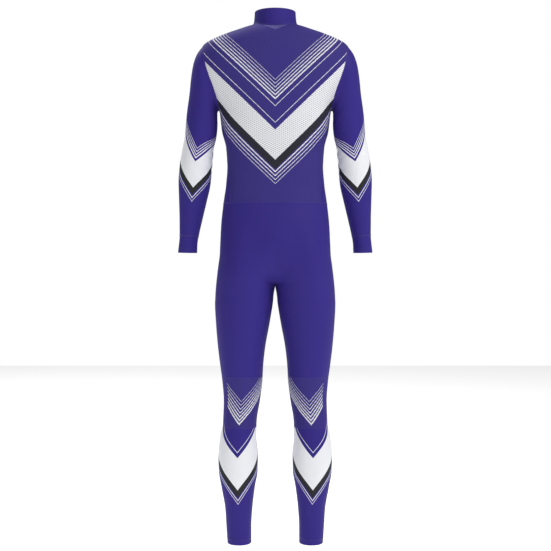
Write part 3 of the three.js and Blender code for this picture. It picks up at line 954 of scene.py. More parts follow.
class Knit(Enum):
    """How a cloth is knitted."""

    SMOOTH = "smooth"
    EYELET = "eyelet"


class Motif(Enum):
    """How a printed chevron goes round a piece."""

    BACK = "back"
    RING = "ring"


@dataclass(frozen=True)
class Band:
    """A printed band, by its lower and upper edge above the chevron's line, in metres."""

    low: float
    high: float
    colour: Colour


@dataclass(frozen=True)
class ChevronPrint:
    """Bands that follow a V or a zigzag: each place along the piece is read above that line."""

    motif: Motif
    middle: float
    slope: float
    bands: tuple[Band, ...]
    points: int = 2
    blur: float = 0.0006

    def height(self, graph: Graph) -> Signal:
        """Measures above the chevron's line.

        Args:
            graph: the material's nodes.

        Returns:
            How far a place lies above the line, in metres of cloth.
        """
        across, along = graph.map_place(PRINT_MAP)
        if self.motif is Motif.BACK:
            rise = across.math("ABSOLUTE") * self.slope
        else:
            turned = (across * self.points).math("FRACT")
            rise = (turned - 0.5).math("ABSOLUTE") * (2 * self.slope)
        return along - rise - self.middle

    def colour(self, graph: Graph, ground: object) -> tuple[Signal | object, Signal | float]:
        """Paints the bands over a ground.

        Args:
            graph: the material's nodes.
            ground: the cloth's own colour.

        Returns:
            The colour with the bands on it, and how white the print is there.
        """
        height = self.height(graph)
        painted, whiteness = ground, 0.0
        for band in self.bands:
            inside = height.between(band.low, band.high, self.blur)
            painted = graph.mix(inside, painted, band.colour)
            if band.colour is WHITE:
                whiteness = inside + whiteness
        return painted, whiteness


def pinstripes(start: float, pitch: float, widths: Sequence[float]) -> tuple[Band, ...]:
    """Returns thin white bands at a pitch from a start, one for each width."""
    starts = [start + pitch * index for index in range(len(widths))]
    return tuple(Band(low, low + width, WHITE) for low, width in zip(starts, widths))


BACK_PRINT = ChevronPrint(
    Motif.BACK,
    middle=-0.385,
    slope=0.95,
    bands=(
        Band(-0.026, 0.000, BLACK),
        Band(0.000, 0.080, WHITE),
        Band(0.098, 0.1002, WHITE),
        Band(0.142, 0.1442, WHITE),
        *pinstripes(0.160, 0.0105, (0.0048, 0.0040, 0.0032, 0.0025, 0.0019, 0.0014)),
        *pinstripes(-0.0345, -0.0105, (0.0042, 0.0033, 0.0025, 0.0018)),
    ),
)
SLEEVE_PRINT = ChevronPrint(
    Motif.RING,
    middle=-0.385,
    slope=0.085,
    bands=(
        Band(-0.020, 0.000, BLACK),
        Band(0.000, 0.075, WHITE),
        *pinstripes(0.0840, 0.0095, (0.0042, 0.0034, 0.0026, 0.0019)),
        *pinstripes(-0.0290, -0.0095, (0.0030, 0.0020)),
    ),
)
LEG_PRINT = ChevronPrint(
    Motif.RING,
    middle=-1.290,
    slope=0.105,
    bands=(
        Band(-0.022, 0.000, BLACK),
        Band(0.000, 0.090, WHITE),
        Band(0.104, 0.1062, WHITE),
        *pinstripes(-0.0310, -0.0095, (0.0032, 0.0022)),
    ),
)
KNEE_PRINT = ChevronPrint(
    Motif.RING,
    middle=-1.112,
    slope=0.105,
    bands=pinstripes(0.0, 0.0105, (0.0056, 0.0048, 0.0040, 0.0032, 0.0025, 0.0019, 0.0014)),
)


@dataclass(frozen=True)
class ClothFinish:
    """A knitted cloth with its colour, its knit, what is printed on it and the painted shade in its holes.
    """

    name: str
    ground: Colour
    knit: Knit
    print: ChevronPrint | None = None
    vent: bool = False
    roughness: float = 0.62
    sheen: float = 0.015
    wale: float = 0.0011
    cloud_scale: float = 9.0
    cloud_shade: float = 0.93
    hole_strength: float = 0.75
    hole_depth: float = 2.0
    hole_blur: float = 0.35
    relief_size: float = 0.00012
    eyelet_pitch: float = 0.0112
    eyelet_rows: float = 0.0028
    eyelet_width: float = 0.0046
    eyelet_height: float = 0.0019
    vent_drop: float = 0.022
    vent_half_width: float = 0.039

    def eyelets(self, graph: Graph) -> Signal:
        """Draws the cloth's small holes, which stand in staggered rows.

        Args:
            graph: the material's nodes.

        Returns:
            1 inside the holes and 0 between them.
        """
        across, along = graph.map_place(CLOTH_MAP)
        row = along / self.eyelet_rows
        stagger = row.math("FLOOR").math("MODULO", 2.0) * 0.5
        sideways = (across / self.eyelet_pitch + stagger).math("FRACT") - 0.5
        sideways = sideways * (2 * self.eyelet_pitch / self.eyelet_width)
        upright = (row.math("FRACT") - 0.5) * (2 * self.eyelet_rows / self.eyelet_height)
        reach = (sideways * sideways + upright * upright).math("SQRT")
        return 1 - reach.above(1.0, self.hole_blur)

    def wales(self, graph: Graph) -> Signal:
        """Draws the fine upright ribs of the knit.

        Args:
            graph: the material's nodes.

        Returns:
            How high the knit is, from -1 to 1.
        """
        across, along = graph.map_place(CLOTH_MAP)
        turn = 2 * math.pi / self.wale
        return (across * turn).math("SINE") * 0.6 + (along * turn * 0.7).math("SINE") * 0.4

    def vented(self, graph: Graph) -> Signal:
        """Draws the open triangle below the collar.

        Args:
            graph: the material's nodes.

        Returns:
            1 inside the triangle and 0 outside.
        """
        across, along = graph.map_place(PRINT_MAP)
        edge = across.math("ABSOLUTE") * (self.vent_drop / self.vent_half_width)
        return (along - edge).above(-self.vent_drop, 0.0008)

    def build(self) -> bpy.types.Material:
        """Makes the material.

        Returns:
            The material, which reads the piece's two UV maps.
        """
        graph = Graph(self.name)
        cloudy = graph.noise(self.cloud_scale, 3.0)
        colour = graph.mix(cloudy, toned(self.ground, self.cloud_shade), self.ground)
        whiteness: Signal | float = 0.0
        if self.print is not None:
            colour, whiteness = self.print.colour(graph, colour)
        relief = self.wales(graph) * 0.5
        if self.knit is Knit.EYELET:
            holes = self.eyelets(graph)
            # Painted shade: the holes are coloured dark, greyer under the white print, for the unlit inside
            # of the suit seen through them.
            depth = graph.mix(whiteness, HOLE_SHADE_ON_PURPLE, HOLE_SHADE_ON_WHITE)
            colour = graph.mix(holes * self.hole_strength, colour, depth)
            relief = relief * 0.3 - holes * self.hole_depth
            if self.vent:
                open_knit = self.vented(graph) * holes
                colour = graph.mix(open_knit * self.hole_strength, colour, OPEN_VENT)
        graph.shade(
            Base_Color=colour,
            Roughness=cloudy * 0.1 + (self.roughness - 0.05),
            Normal=graph.bump(relief, 0.25, self.relief_size),
            Sheen_Weight=self.sheen,
            Sheen_Roughness=0.5,
            Specular_IOR_Level=0.12,
        )
        return graph.material


@dataclass(frozen=True)
class ThreadFinish:
    """Sewing thread, twisted, a little shinier than the cloth, with a painted highlight on the crests of
    its twist.
    """

    name: str
    colour: Colour
    twist: float = 0.0009
    # Painted highlight: how much lighter the crests of the twist are coloured.
    lighter: float = 1.12

    def build(self) -> bpy.types.Material:
        """Makes the material.

        Returns:
            The material, which reads the piece's cloth map.
        """
        graph = Graph(self.name)
        across, along = graph.map_place(CLOTH_MAP)
        twisted = ((along + across) * (2 * math.pi / self.twist)).math("SINE")
        # Painted highlight: where the twist's bump rises, the thread is coloured lighter.
        light = toned(self.colour, self.lighter)
        graph.shade(
            Base_Color=graph.mix(twisted * 0.5 + 0.5, self.colour, light),
            Roughness=graph.noise(60.0, 2.0) * 0.15 + 0.45,
            Normal=graph.bump(twisted, 0.2, 0.0001),
            Sheen_Weight=0.04,
            Specular_IOR_Level=0.15,
        )
        return graph.material


@dataclass(frozen=True)
class HardFinish:
    """Lacquered metal or moulded plastic, with fine scratches and rubbed spots."""

    name: str
    colour: Colour
    metallic: float
    roughness: float
    scratch_scale: float = 900.0
    wear_scale: float = 220.0
    worn_tone: float = 0.32
    worn_share: float = 0.35

    def build(self) -> bpy.types.Material:
        """Makes the material.

        Returns:
            The material.
        """
        graph = Graph(self.name)
        fine = graph.noise(self.scratch_scale, 4.0)
        worn = graph.noise(self.wear_scale, 2.0).above(0.66, 0.08)
        rubbed = tuple(mixed(value, self.worn_tone, self.worn_share) for value in self.colour[:3]) + (1.0,)
        graph.shade(
            Base_Color=graph.mix(worn * 0.5, self.colour, rubbed),
            Roughness=fine * 0.22 + (self.roughness - 0.11),
            Metallic=self.metallic,
            Normal=graph.bump(fine, 0.08, 0.00005),
            Coat_Weight=0.2,
        )
        return graph.material


@dataclass(frozen=True)
class Crease:
    """A soft fold in a piece: a trough where its depth is above 0, and a ridge where it is below.

    Its middle is at a share and a place of the piece. It is turned from level by an angle, and its
    length and width are measured from its middle to where it has faded to about a third.
    """

    share: float
    place: float
    turn: float
    length: float
    width: float
    depth: float


@dataclass(frozen=True)
class Cut:
    """A piece as it is cut, flat, before it is stretched on the wearer: width, length and area."""

    width: float
    length: float
    area: float


@dataclass(frozen=True)
class Window:
    """The part of a piece that another piece fills: between two places, up to a share."""

    top: float
    bottom: float
    share: float

    def holds(self, share: float, place: float) -> bool:
        """Returns whether a spot of the piece lies in the window."""
        return self.bottom < place < self.top and share < self.share


@dataclass
class Panel:
    """A cut piece of cloth on the suit's form, for the wearer's right or both sides.

    Its columns go across the surface, up to the last share, and its rows stand at its places. The girth
    turns shares into metres of cloth where the piece has no measure across.
    """

    name: str
    node: str
    slot: str
    surface: Place
    columns: int
    places: list[float]
    finish: ClothFinish
    cut: Cut
    girth: float
    creases: tuple[Crease, ...] = ()
    across: Place | None = None
    along_sign: float = 1.0
    thickness: float = 0.0011
    edge_share: float = 0.3
    window: Window | None = None
    last_share: float = 1.0
    edge_fade: float = 0.05
    relaxed: tuple[float, float] | None = None
    relax_steps: int = 12
    middle_margin: float = 0.0005
    cloth_top: float = 10.0

    @property
    def paired(self) -> bool:
        """Whether the suit has the piece on both sides."""
        return self.node not in ("back_panel", "collar", "zip_chain")

    def share_at(self, column: int) -> float:
        """Returns the share across the surface at a column."""
        return self.last_share * (column / self.columns)

    def length_to(self, row: int) -> float:
        """Returns the length of cloth from the first row down to a row."""
        return abs(self.places[row] - self.places[0])

    def fold_depth(self, share: float, place: float) -> float:
        """Adds up the soft folds, which fade out at the piece's ends.

        Args:
            share: the share across the surface.
            place: the place along it.

        Returns:
            How deep the cloth lies there.
        """
        total = 0.0
        for crease in self.creases:
            sideways = (share - crease.share) * self.girth
            upright = place - crease.place
            cosine, sine = math.cos(crease.turn), math.sin(crease.turn)
            along = (sideways * cosine + upright * sine) / crease.length
            across = (upright * cosine - sideways * sine) / crease.width
            if abs(along) < 3 and abs(across) < 3:
                total += crease.depth * math.exp(-along * along - across * across)
        ends = abs(self.places[-1] - self.places[0]) * self.edge_fade
        room = min(abs(place - self.places[0]), abs(place - self.places[-1])) / ends
        return total * eased(room)

    def build(self, left: bool) -> bpy.types.Object:
        """Makes the piece.

        Args:
            left: whether it is the mirrored piece for the wearer's left.

        Returns:
            The object, dressed and riding on the suit.
        """
        rows = len(self.places) - 1
        mesh = bmesh.new()
        bmesh.ops.create_grid(mesh, x_segments=self.columns, y_segments=rows, size=0.5)
        spots = {}
        for vert in mesh.verts:
            column = round((vert.co.x + 0.5) * self.columns)
            row = round((0.5 - vert.co.y) * rows)
            spots[vert] = (column, row)
            vert.co = self.surface(self.share_at(column), self.places[row])
        self.lay_out(mesh, spots)
        self.cut_away(mesh, spots)
        bmesh.ops.remove_doubles(mesh, verts=mesh.verts[:], dist=CLOTH_MERGE)
        self.relax(mesh)
        mesh.normal_update()
        if self.creases:
            for vert in mesh.verts:
                column, row = spots[vert]
                vert.co -= vert.normal * self.fold_depth(self.share_at(column), self.places[row])
        if left:
            bmesh.ops.scale(mesh, vec=(-1.0, 1.0, 1.0), verts=mesh.verts[:])
            bmesh.ops.reverse_faces(mesh, faces=mesh.faces[:])
        side = ("_left" if left else "_right") if self.paired else ""
        piece = mesh_object(self.name + side, mesh, self.finish.build())
        wall = piece.modifiers.new("wall", "SOLIDIFY")
        wall.thickness = self.thickness
        wall.offset = -1.0
        wall.use_quality_normals = True
        soften(piece, self.thickness * self.edge_share)
        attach(piece, SUIT_BODY)
        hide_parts(self.node + side)
        return piece

    def relax(self, mesh: bmesh.types.BMesh) -> None:
        """Evens out the cloth between two heights, where its form turns sharply.

        Args:
            mesh: the piece's mesh.
        """
        if self.relaxed is None:
            return
        low, high = self.relaxed
        inside = [vert for vert in mesh.verts if low < vert.co.z < high and not vert.is_boundary]
        inside = [vert for vert in inside if vert.co.x > self.middle_margin]
        for _ in range(self.relax_steps):
            bmesh.ops.smooth_vert(
                mesh, verts=inside, factor=0.5, use_axis_x=True, use_axis_y=True, use_axis_z=True
            )

    def lay_out(self, mesh: bmesh.types.BMesh, spots: dict[bmesh.types.BMVert, tuple[int, int]]) -> None:
        """Gives each corner its place on the cloth and in the print.

        Args:
            mesh: the piece's mesh.
            spots: each vertex's column and row.
        """
        cloth = mesh.loops.layers.uv.new(CLOTH_MAP)
        printed = mesh.loops.layers.uv.new(PRINT_MAP)
        for face in mesh.faces:
            face.smooth = True
            for loop in face.loops:
                column, row = spots[loop.vert]
                share, place = self.share_at(column), self.places[row]
                across = share if self.across is None else self.across(share, place)
                wide = share * self.girth if self.across is None else across
                loop[cloth].uv = (wide, self.cloth_top - self.length_to(row))
                loop[printed].uv = (across, place * self.along_sign)

    def cut_away(self, mesh: bmesh.types.BMesh, spots: dict[bmesh.types.BMVert, tuple[int, int]]) -> None:
        """Takes out the part that another piece fills, if there is one.

        Args:
            mesh: the piece's mesh.
            spots: each vertex's column and row.
        """
        if self.window is None:
            return
        unwanted = []
        for face in mesh.faces:
            corners_in = [spots[vert] for vert in face.verts]
            share = sum(self.share_at(column) for column, _ in corners_in) / len(corners_in)
            place = sum(self.places[row] for _, row in corners_in) / len(corners_in)
            if self.window.holds(share, place):
                unwanted.append(face)
        bmesh.ops.delete(mesh, geom=unwanted, context="FACES")


def mesh_object(name: str, mesh: bmesh.types.BMesh, material: bpy.types.Material) -> bpy.types.Object:
    """Turns a bmesh into an object at the origin.

    Args:
        name: the piece's name.
        mesh: the mesh, which is freed.
        material: the piece's finish.

    Returns:
        The object.
    """
    data = bpy.data.meshes.new(name)
    mesh.to_mesh(data)
    mesh.free()
    data.materials.append(material)
    piece = bpy.data.objects.new(name, data)
    bpy.context.scene.collection.objects.link(piece)
    return piece


def soften(piece: bpy.types.Object, width: float, segments: int = 2) -> None:
    """Rounds a piece's sharp edges.

    Args:
        piece: the piece.
        width: how wide the rounding is.
        segments: how many faces it has.
    """
    bevel = piece.modifiers.new("edges", "BEVEL")
    bevel.width = width
    bevel.segments = segments
    bevel.profile = 0.5
    bevel.limit_method = "ANGLE"
    bevel.angle_limit = SHARP_ANGLE
    bevel.harden_normals = True


class Seam(Enum):
    """The kinds of sewing on the suit: width, height and the places of the thread rows across it."""

    FLATLOCK = (0.0052, 0.00055, (-0.55, 0.55))
    TOPSTITCH = (0.0014, 0.00040, (0.0,))
    COVERSTITCH = (0.0044, 0.00022, (-0.7, 0.7))


@dataclass
class Stitching:
    """A line of sewing on a surface, as a low band whose thread rows rise and dip with each stitch."""

    form: Form
    start: tuple[float, float]
    end: tuple[float, float]
    kind: Seam
    closed: bool = False
    pitch: float = 0.0034
    steps_per_stitch: int = 4
    columns: int = 8
    narrow_columns: int = 4
    rough_steps: int = 160
    thread_reach: float = 0.32
    dip: float = 0.45
    band_share: float = 0.35
    sunk: float = 0.0001

    @classmethod
    def ring(cls, form: Form, place: float, kind: Seam) -> "Stitching":
        """Returns a line of sewing that goes right round a tube at a place."""
        return cls(form, (0.0, place), (1.0, place), kind, closed=True)

    def spots(self, count: int) -> list[tuple[float, float]]:
        """Returns the surface places of even steps from the start to the end."""
        shares = spaced(self.start[0], self.end[0], count)
        return list(zip(shares, spaced(self.start[1], self.end[1], count)))

    def even_spots(self) -> list[tuple[float, float]]:
        """Divides the line evenly, with a few steps for each stitch.

        Returns:
            Spots of the surface that are the same length apart.
        """
        rough = self.spots(self.rough_steps)
        lengths = running_lengths([self.form.point(*spot) for spot in rough])
        count = max(1, round(lengths[-1] / self.pitch)) * self.steps_per_stitch
        spots = []
        for index in range(count + 1):
            step, part = step_at(lengths, lengths[-1] * index / count)
            before, after = rough[step - 1], rough[step]
            spots.append((mixed(before[0], after[0], part), mixed(before[1], after[1], part)))
        return spots

    def add_to(self, mesh: bmesh.types.BMesh, left: bool) -> None:
        """Adds the line of sewing to a mesh.

        Args:
            mesh: the mesh that takes it.
            left: whether it is the mirrored line for the wearer's left.
        """
        width, height, threads = self.kind.value
        spots = self.even_spots()
        rows = len(spots) - 1
        columns = self.columns if len(threads) > 1 else self.narrow_columns
        made = bmesh.ops.create_grid(mesh, x_segments=columns, y_segments=rows, size=0.5)
        points = [self.form.point(*spot) for spot in spots]
        normals = [self.form.outward(*spot) for spot in spots]
        cloth = mesh.loops.layers.uv.get(CLOTH_MAP) or mesh.loops.layers.uv.new(CLOTH_MAP)
        places = {}
        for vert in made["verts"]:
            side = vert.co.x * 2
            row = round((0.5 - vert.co.y) * rows)
            places[vert] = (side * width / 2, row * self.pitch / self.steps_per_stitch)
            along = points[(row + 1) % rows if self.closed else min(rows, row + 1)]
            along = along - points[(row - 1) % rows if self.closed else max(0, row - 1)]
            sideways = along.cross(normals[row]).normalized()
            nearest = min(abs(side - place) for place in threads)
            thread = math.sqrt(max(0.0, 1 - nearest / self.thread_reach))
            swell = mixed(self.dip, 1.0, abs(math.sin(math.pi * row / self.steps_per_stitch)))
            rise = height * mixed(thread * swell, 1 - side**4, self.band_share) - self.sunk
            vert.co = points[row] + sideways * (side * width / 2) + normals[row] * rise
        faces = {face for vert in made["verts"] for face in vert.link_faces}
        for face in faces:
            face.smooth = True
            for loop in face.loops:
                loop[cloth].uv = places[loop.vert]
        if self.closed:
            bmesh.ops.remove_doubles(mesh, verts=made["verts"], dist=FINE_MERGE)
        if left:
            corners = list({vert for face in faces if face.is_valid for vert in face.verts})
            bmesh.ops.scale(mesh, vec=(-1.0, 1.0, 1.0), verts=corners)
            bmesh.ops.reverse_faces(mesh, faces=[face for face in faces if face.is_valid])


@dataclass
class Sewing:
    """All the lines of sewing that share a thread, as one piece."""

    name: str
    lines: list[Stitching]
    finish: ThreadFinish
    slot: str = "stretch_cloth"
    paired: bool = True
    thickness: float = 0.00025

    def build(self) -> bpy.types.Object:
        """Makes the lines of sewing.

        Returns:
            The one object, riding on the suit.
        """
        mesh = bmesh.new()
        for line in self.lines:
            for left in (False, True) if self.paired else (False,):
                line.add_to(mesh, left)
        piece = mesh_object(self.name, mesh, self.finish.build())
        wall = piece.modifiers.new("wall", "SOLIDIFY")
        wall.thickness = self.thickness
        wall.offset = -1.0
        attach(piece, SUIT_BODY)
        return piece


@dataclass
class Trunk:
    """The back panel, the two fronts and the collar."""

    armhole_rows: int = 36
    shoulder_rows: int = 16
    body_rows: int = 52
    back_columns: int = 112
    front_columns: int = 64
    collar_columns: int = 120
    collar_rows: int = 14
    back_cut: Cut = Cut(0.40, 0.49, 0.165)
    front_cut: Cut = Cut(0.23, 0.46, 0.085)
    collar_cut: Cut = Cut(0.35, 0.05, 0.0146)

    def heights(self) -> list[float]:
        """Spaces the rows, close together where the armhole starts and ends.

        Returns:
            The rows' heights, from the neck down.
        """
        middle, half = (SHOULDER_POINT + UNDERARM) / 2, (SHOULDER_POINT - UNDERARM) / 2
        turns = spaced(0.0, math.pi, self.armhole_rows)
        return [
            *spaced(0.0, SHOULDER_POINT, self.shoulder_rows)[:-1],
            SHOULDER_POINT,
            *[middle + half * math.cos(turn) for turn in turns[1:-1]],
            UNDERARM,
            *spaced(UNDERARM, WAIST_SEAM, self.body_rows)[1:],
        ]

    def build(self) -> list[bpy.types.Object]:
        """Makes the back, both fronts and the collar.

        Returns:
            The objects, dressed and riding on the suit.
        """
        mesh = ClothFinish("back_mesh", MESH_PURPLE, Knit.EYELET, BACK_PRINT, vent=True, roughness=0.68)
        plain = ClothFinish("body_stretch_cloth", PURPLE, Knit.SMOOTH)
        back = Panel(
            "mesh_back", "back_panel", "mesh_cloth", back_point, self.back_columns, self.heights(), mesh,
            self.back_cut, girth=0.42, across=back_across,
            creases=(
                Crease(0.10, -0.285, 0.75, 0.050, 0.011, 0.0011),
                Crease(0.90, -0.285, -0.75, 0.050, 0.011, 0.0011),
                Crease(0.17, -0.325, 0.62, 0.042, 0.010, 0.0008),
                Crease(0.82, -0.332, -0.66, 0.046, 0.010, 0.0009),
                Crease(0.30, -0.440, 0.12, 0.060, 0.009, 0.0007),
                Crease(0.71, -0.452, -0.10, 0.070, 0.009, 0.0008),
            ),
        )
        front = Panel(
            "front_cloth", "front", "stretch_cloth", front_point, self.front_columns, self.heights(), plain,
            self.front_cut, girth=0.22,
            creases=(
                Crease(0.25, -0.290, 0.70, 0.050, 0.011, 0.0012),
                Crease(0.20, -0.340, 0.55, 0.040, 0.010, 0.0009),
                Crease(0.45, -0.455, 0.10, 0.060, 0.010, 0.0008),
            ),
        )
        collar = Panel(
            "stand_collar", "collar", "stretch_cloth", collar_point, self.collar_columns,
            spaced(1.0, 0.0, self.collar_rows), ClothFinish("collar_cloth", PURPLE, Knit.SMOOTH),
            self.collar_cut, girth=0.37, thickness=0.0018,
        )
        return [back.build(False), front.build(False), front.build(True), collar.build(False)]


@dataclass
class Sleeves:
    """The long sleeves and their cuffs."""

    columns: int = 72
    rows: int = 120
    cuff_rows: int = 16
    sleeve_cut: Cut = Cut(0.27, 0.52, 0.110)
    cuff_cut: Cut = Cut(0.125, 0.058, 0.0070)

    def build(self) -> list[bpy.types.Object]:
        """Makes both sleeves and both cuffs.

        Returns:
            The objects, dressed and riding on the suit.
        """
        printed = ClothFinish("sleeve_cloth", PURPLE, Knit.SMOOTH, SLEEVE_PRINT)
        plain = ClothFinish("cuff_cloth", PURPLE, Knit.SMOOTH)
        sleeve = Panel(
            "sleeve_cloth", "sleeve", "stretch_cloth", sleeve_point, self.columns,
            spaced(0.0, CUFF_SEAM, self.rows), printed, self.sleeve_cut, girth=0.28, along_sign=-1.0,
            creases=(
                Crease(0.50, 0.255, 0.25, 0.050, 0.009, 0.0018),
                Crease(0.47, 0.290, -0.15, 0.060, 0.009, 0.0022),
                Crease(0.54, 0.322, 0.10, 0.045, 0.008, 0.0015),
                Crease(0.74, 0.275, 0.35, 0.045, 0.010, 0.0010),
                Crease(0.78, 0.120, 0.55, 0.050, 0.012, 0.0010),
                Crease(0.26, 0.115, -0.55, 0.050, 0.012, 0.0010),
                Crease(0.60, 0.480, 0.10, 0.040, 0.007, 0.0006),
            ),
        )
        cuff = Panel(
            "cuff_cloth", "cuff", "stretch_cloth", sleeve_point, self.columns,
            spaced(CUFF_SEAM, SLEEVE_LENGTH, self.cuff_rows), plain, self.cuff_cut, girth=0.165,
            along_sign=-1.0, thickness=0.0016,
        )
        return [panel.build(left) for panel in (sleeve, cuff) for left in (False, True)]


@dataclass
class Legs:
    """The legs, each with its half of the seat, and the mesh behind the knees."""

    columns: int = 96
    seat_rows: int = 26
    turn_rows: int = 26
    thigh_rows: int = 46
    knee_rows: int = 28
    calf_rows: int = 60
    eased_below: float = 0.045
    eased_above: float = 0.050
    leg_cut: Cut = Cut(0.45, 0.93, 0.29)
    knee_cut: Cut = Cut(0.12, 0.137, 0.0155)

    def heights(self) -> list[float]:
        """Spaces the rows, closest together where the seat turns under at the crotch.

        Returns:
            The rows' heights, from the waist down.
        """
        turns = [math.sin(turn) for turn in spaced(0.0, math.pi / 2, self.turn_rows)]
        return [
            *spaced(WAIST_SEAM, SEAT_TURN, self.seat_rows),
            *[mixed(SEAT_TURN, CROTCH, turn) for turn in turns[1:]],
            *spaced(CROTCH, KNEE_TOP, self.thigh_rows)[1:],
            *self.knee_heights()[1:],
            *spaced(KNEE_BOTTOM, ANKLE_HEM, self.calf_rows)[1:],
        ]

    def knee_heights(self) -> list[float]:
        """Returns the rows' heights behind the knee."""
        return spaced(KNEE_TOP, KNEE_BOTTOM, self.knee_rows)

    def build(self) -> list[bpy.types.Object]:
        """Makes both legs and both knee meshes.

        Returns:
            The objects, dressed and riding on the suit.
        """
        printed = ClothFinish("leg_cloth", PURPLE, Knit.SMOOTH, LEG_PRINT)
        mesh = ClothFinish("knee_mesh", MESH_PURPLE, Knit.EYELET, KNEE_PRINT, roughness=0.68)
        leg = Panel(
            "leg_cloth", "leg", "stretch_cloth", leg_point, self.columns, self.heights(), printed,
            self.leg_cut, girth=0.40, window=Window(KNEE_TOP, KNEE_BOTTOM, KNEE_MESH_SHARE),
            relaxed=(CROTCH - self.eased_below, SEAT_TURN + self.eased_above),
            creases=(
                Crease(0.16, -0.735, 0.18, 0.060, 0.013, 0.0013),
                Crease(0.24, -0.760, 0.10, 0.050, 0.012, 0.0008),
                Crease(0.86, -0.728, -0.50, 0.055, 0.011, 0.0013),
                Crease(0.80, -0.700, -0.60, 0.050, 0.012, 0.0010),
                Crease(0.55, -0.640, 0.25, 0.050, 0.014, 0.0007),
                Crease(0.75, -1.040, 0.08, 0.055, 0.010, 0.0007),
                Crease(0.30, -1.400, 0.10, 0.040, 0.009, 0.0006),
            ),
        )
        knee = Panel(
            "knee_cloth", "knee_mesh", "mesh_cloth", leg_point, round(self.columns * KNEE_MESH_SHARE),
            self.knee_heights(), mesh, self.knee_cut, girth=0.33, last_share=KNEE_MESH_SHARE,
            edge_fade=0.16,
            creases=(
                Crease(0.20, -1.035, 0.10, 0.045, 0.008, 0.0012),
                Crease(0.16, -1.062, -0.14, 0.052, 0.008, 0.0014),
                Crease(0.24, -1.088, 0.06, 0.036, 0.007, 0.0008),
            ),
        )
        return [panel.build(left) for panel in (leg, knee) for left in (False, True)]


@dataclass
class Zip:
    """The front zip: two woven tapes, two rows of teeth, the slider and its pull tab."""

    frame: dict
    tooth_pitch: float = 0.0025
    tooth: tuple[float, float, float] = (0.0026, 0.0013, 0.0013)
    tooth_side: float = 0.00055
    tooth_rise: float = 0.0004
    tooth_edge: float = 0.00025
    metal_edge: float = 0.00018
    collar_steps: int = 24
    trunk_steps: int = 150
    tape_columns: int = 8
    tape_cut: Cut = Cut(0.010, 0.548, 0.0052)
    across: Vector = field(default_factory=lambda: Vector((-1.0, 0.0, 0.0)))

    def places(self) -> list[float]:
        """Returns the strip's places, from the collar's rim down to the waist seam."""
        on_collar = spaced(1.0, 0.0, self.collar_steps)
        return [*on_collar[:-1], 0.0, *spaced(0.0, WAIST_SEAM, self.trunk_steps)[1:]]

    def centre_line(self) -> list[tuple[Vector, Vector, Vector]]:
        """Finds where the teeth stand.

        Returns:
            For each tooth, its point, the direction out of the cloth and the direction up the zip.
        """
        points = [zip_point(0.5, place) for place in self.places()]
        lengths = running_lengths(points)
        stands = []
        for index in range(int(lengths[-1] / self.tooth_pitch * 2)):
            step, part = step_at(lengths, (index + 0.5) * self.tooth_pitch / 2)
            up = (points[step - 1] - points[step]).normalized()
            stands.append((points[step - 1].lerp(points[step], part), self.across.cross(up), up))
        return stands

    def tapes(self) -> bpy.types.Object:
        """Makes the tapes as one strip of woven cloth.

        Returns:
            The strip.
        """
        woven = ClothFinish("zip_tape_cloth", ZIP_TAPE, Knit.SMOOTH, wale=0.0007, sheen=0.05)
        strip = Panel(
            "zip_tapes", "zip_chain", "zip_tape", zip_point, self.tape_columns, self.places(), woven,
            self.tape_cut, girth=2 * ZIP_HALF_WIDTH, thickness=0.0009,
        )
        return strip.build(False)

    def teeth(self) -> bpy.types.Object:
        """Makes the closed rows of teeth.

        Returns:
            The teeth as one object.
        """
        mesh = bmesh.new()
        size = Matrix.Diagonal((*self.tooth, 1.0))
        for index, (point, out, up) in enumerate(self.centre_line()):
            side = self.tooth_side if index % 2 else -self.tooth_side
            turn = Matrix((self.across, up, out)).transposed().to_4x4()
            place = Matrix.Translation(point + self.across * side + out * self.tooth_rise)
            bmesh.ops.create_cube(mesh, size=1.0, matrix=place @ turn @ size)
        finish = HardFinish("moulded_teeth", ZIP_TEETH, metallic=0.0, roughness=0.42)
        piece = mesh_object("zip_teeth", mesh, finish.build())
        soften(piece, self.tooth_edge, 1)
        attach(piece, SUIT_BODY)
        return piece

    def hardware(self) -> list[bpy.types.Object]:
        """Makes the slider and the pull tab with their edges rounded.

        Returns:
            The two pieces, each riding on its own body.
        """
        material = HardFinish("lacquered_metal", ZIP_METAL, metallic=0.85, roughness=0.34).build()
        pieces = []
        for name, node, body in (
            ("slider_body", "zip_slider", SUIT_BODY),
            ("pull_tab_plate", "zip_pull_tab", TAB_BODY),
        ):
            mesh = bmesh.new()
            mesh.from_mesh(self.frame["nodes"][node].data)
            bmesh.ops.remove_doubles(mesh, verts=mesh.verts[:], dist=FINE_MERGE)
            bmesh.ops.dissolve_limit(
                mesh, angle_limit=FLAT_ANGLE, verts=mesh.verts[:], edges=mesh.edges[:]
            )
            piece = mesh_object(name, mesh, material)
            soften(piece, self.metal_edge)
            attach(piece, body)
            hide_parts(node)
            pieces.append(piece)
        return pieces

    def build(self) -> list[bpy.types.Object]:
        """Returns all the zip's pieces."""
        return [self.tapes(), self.teeth(), *self.hardware()]


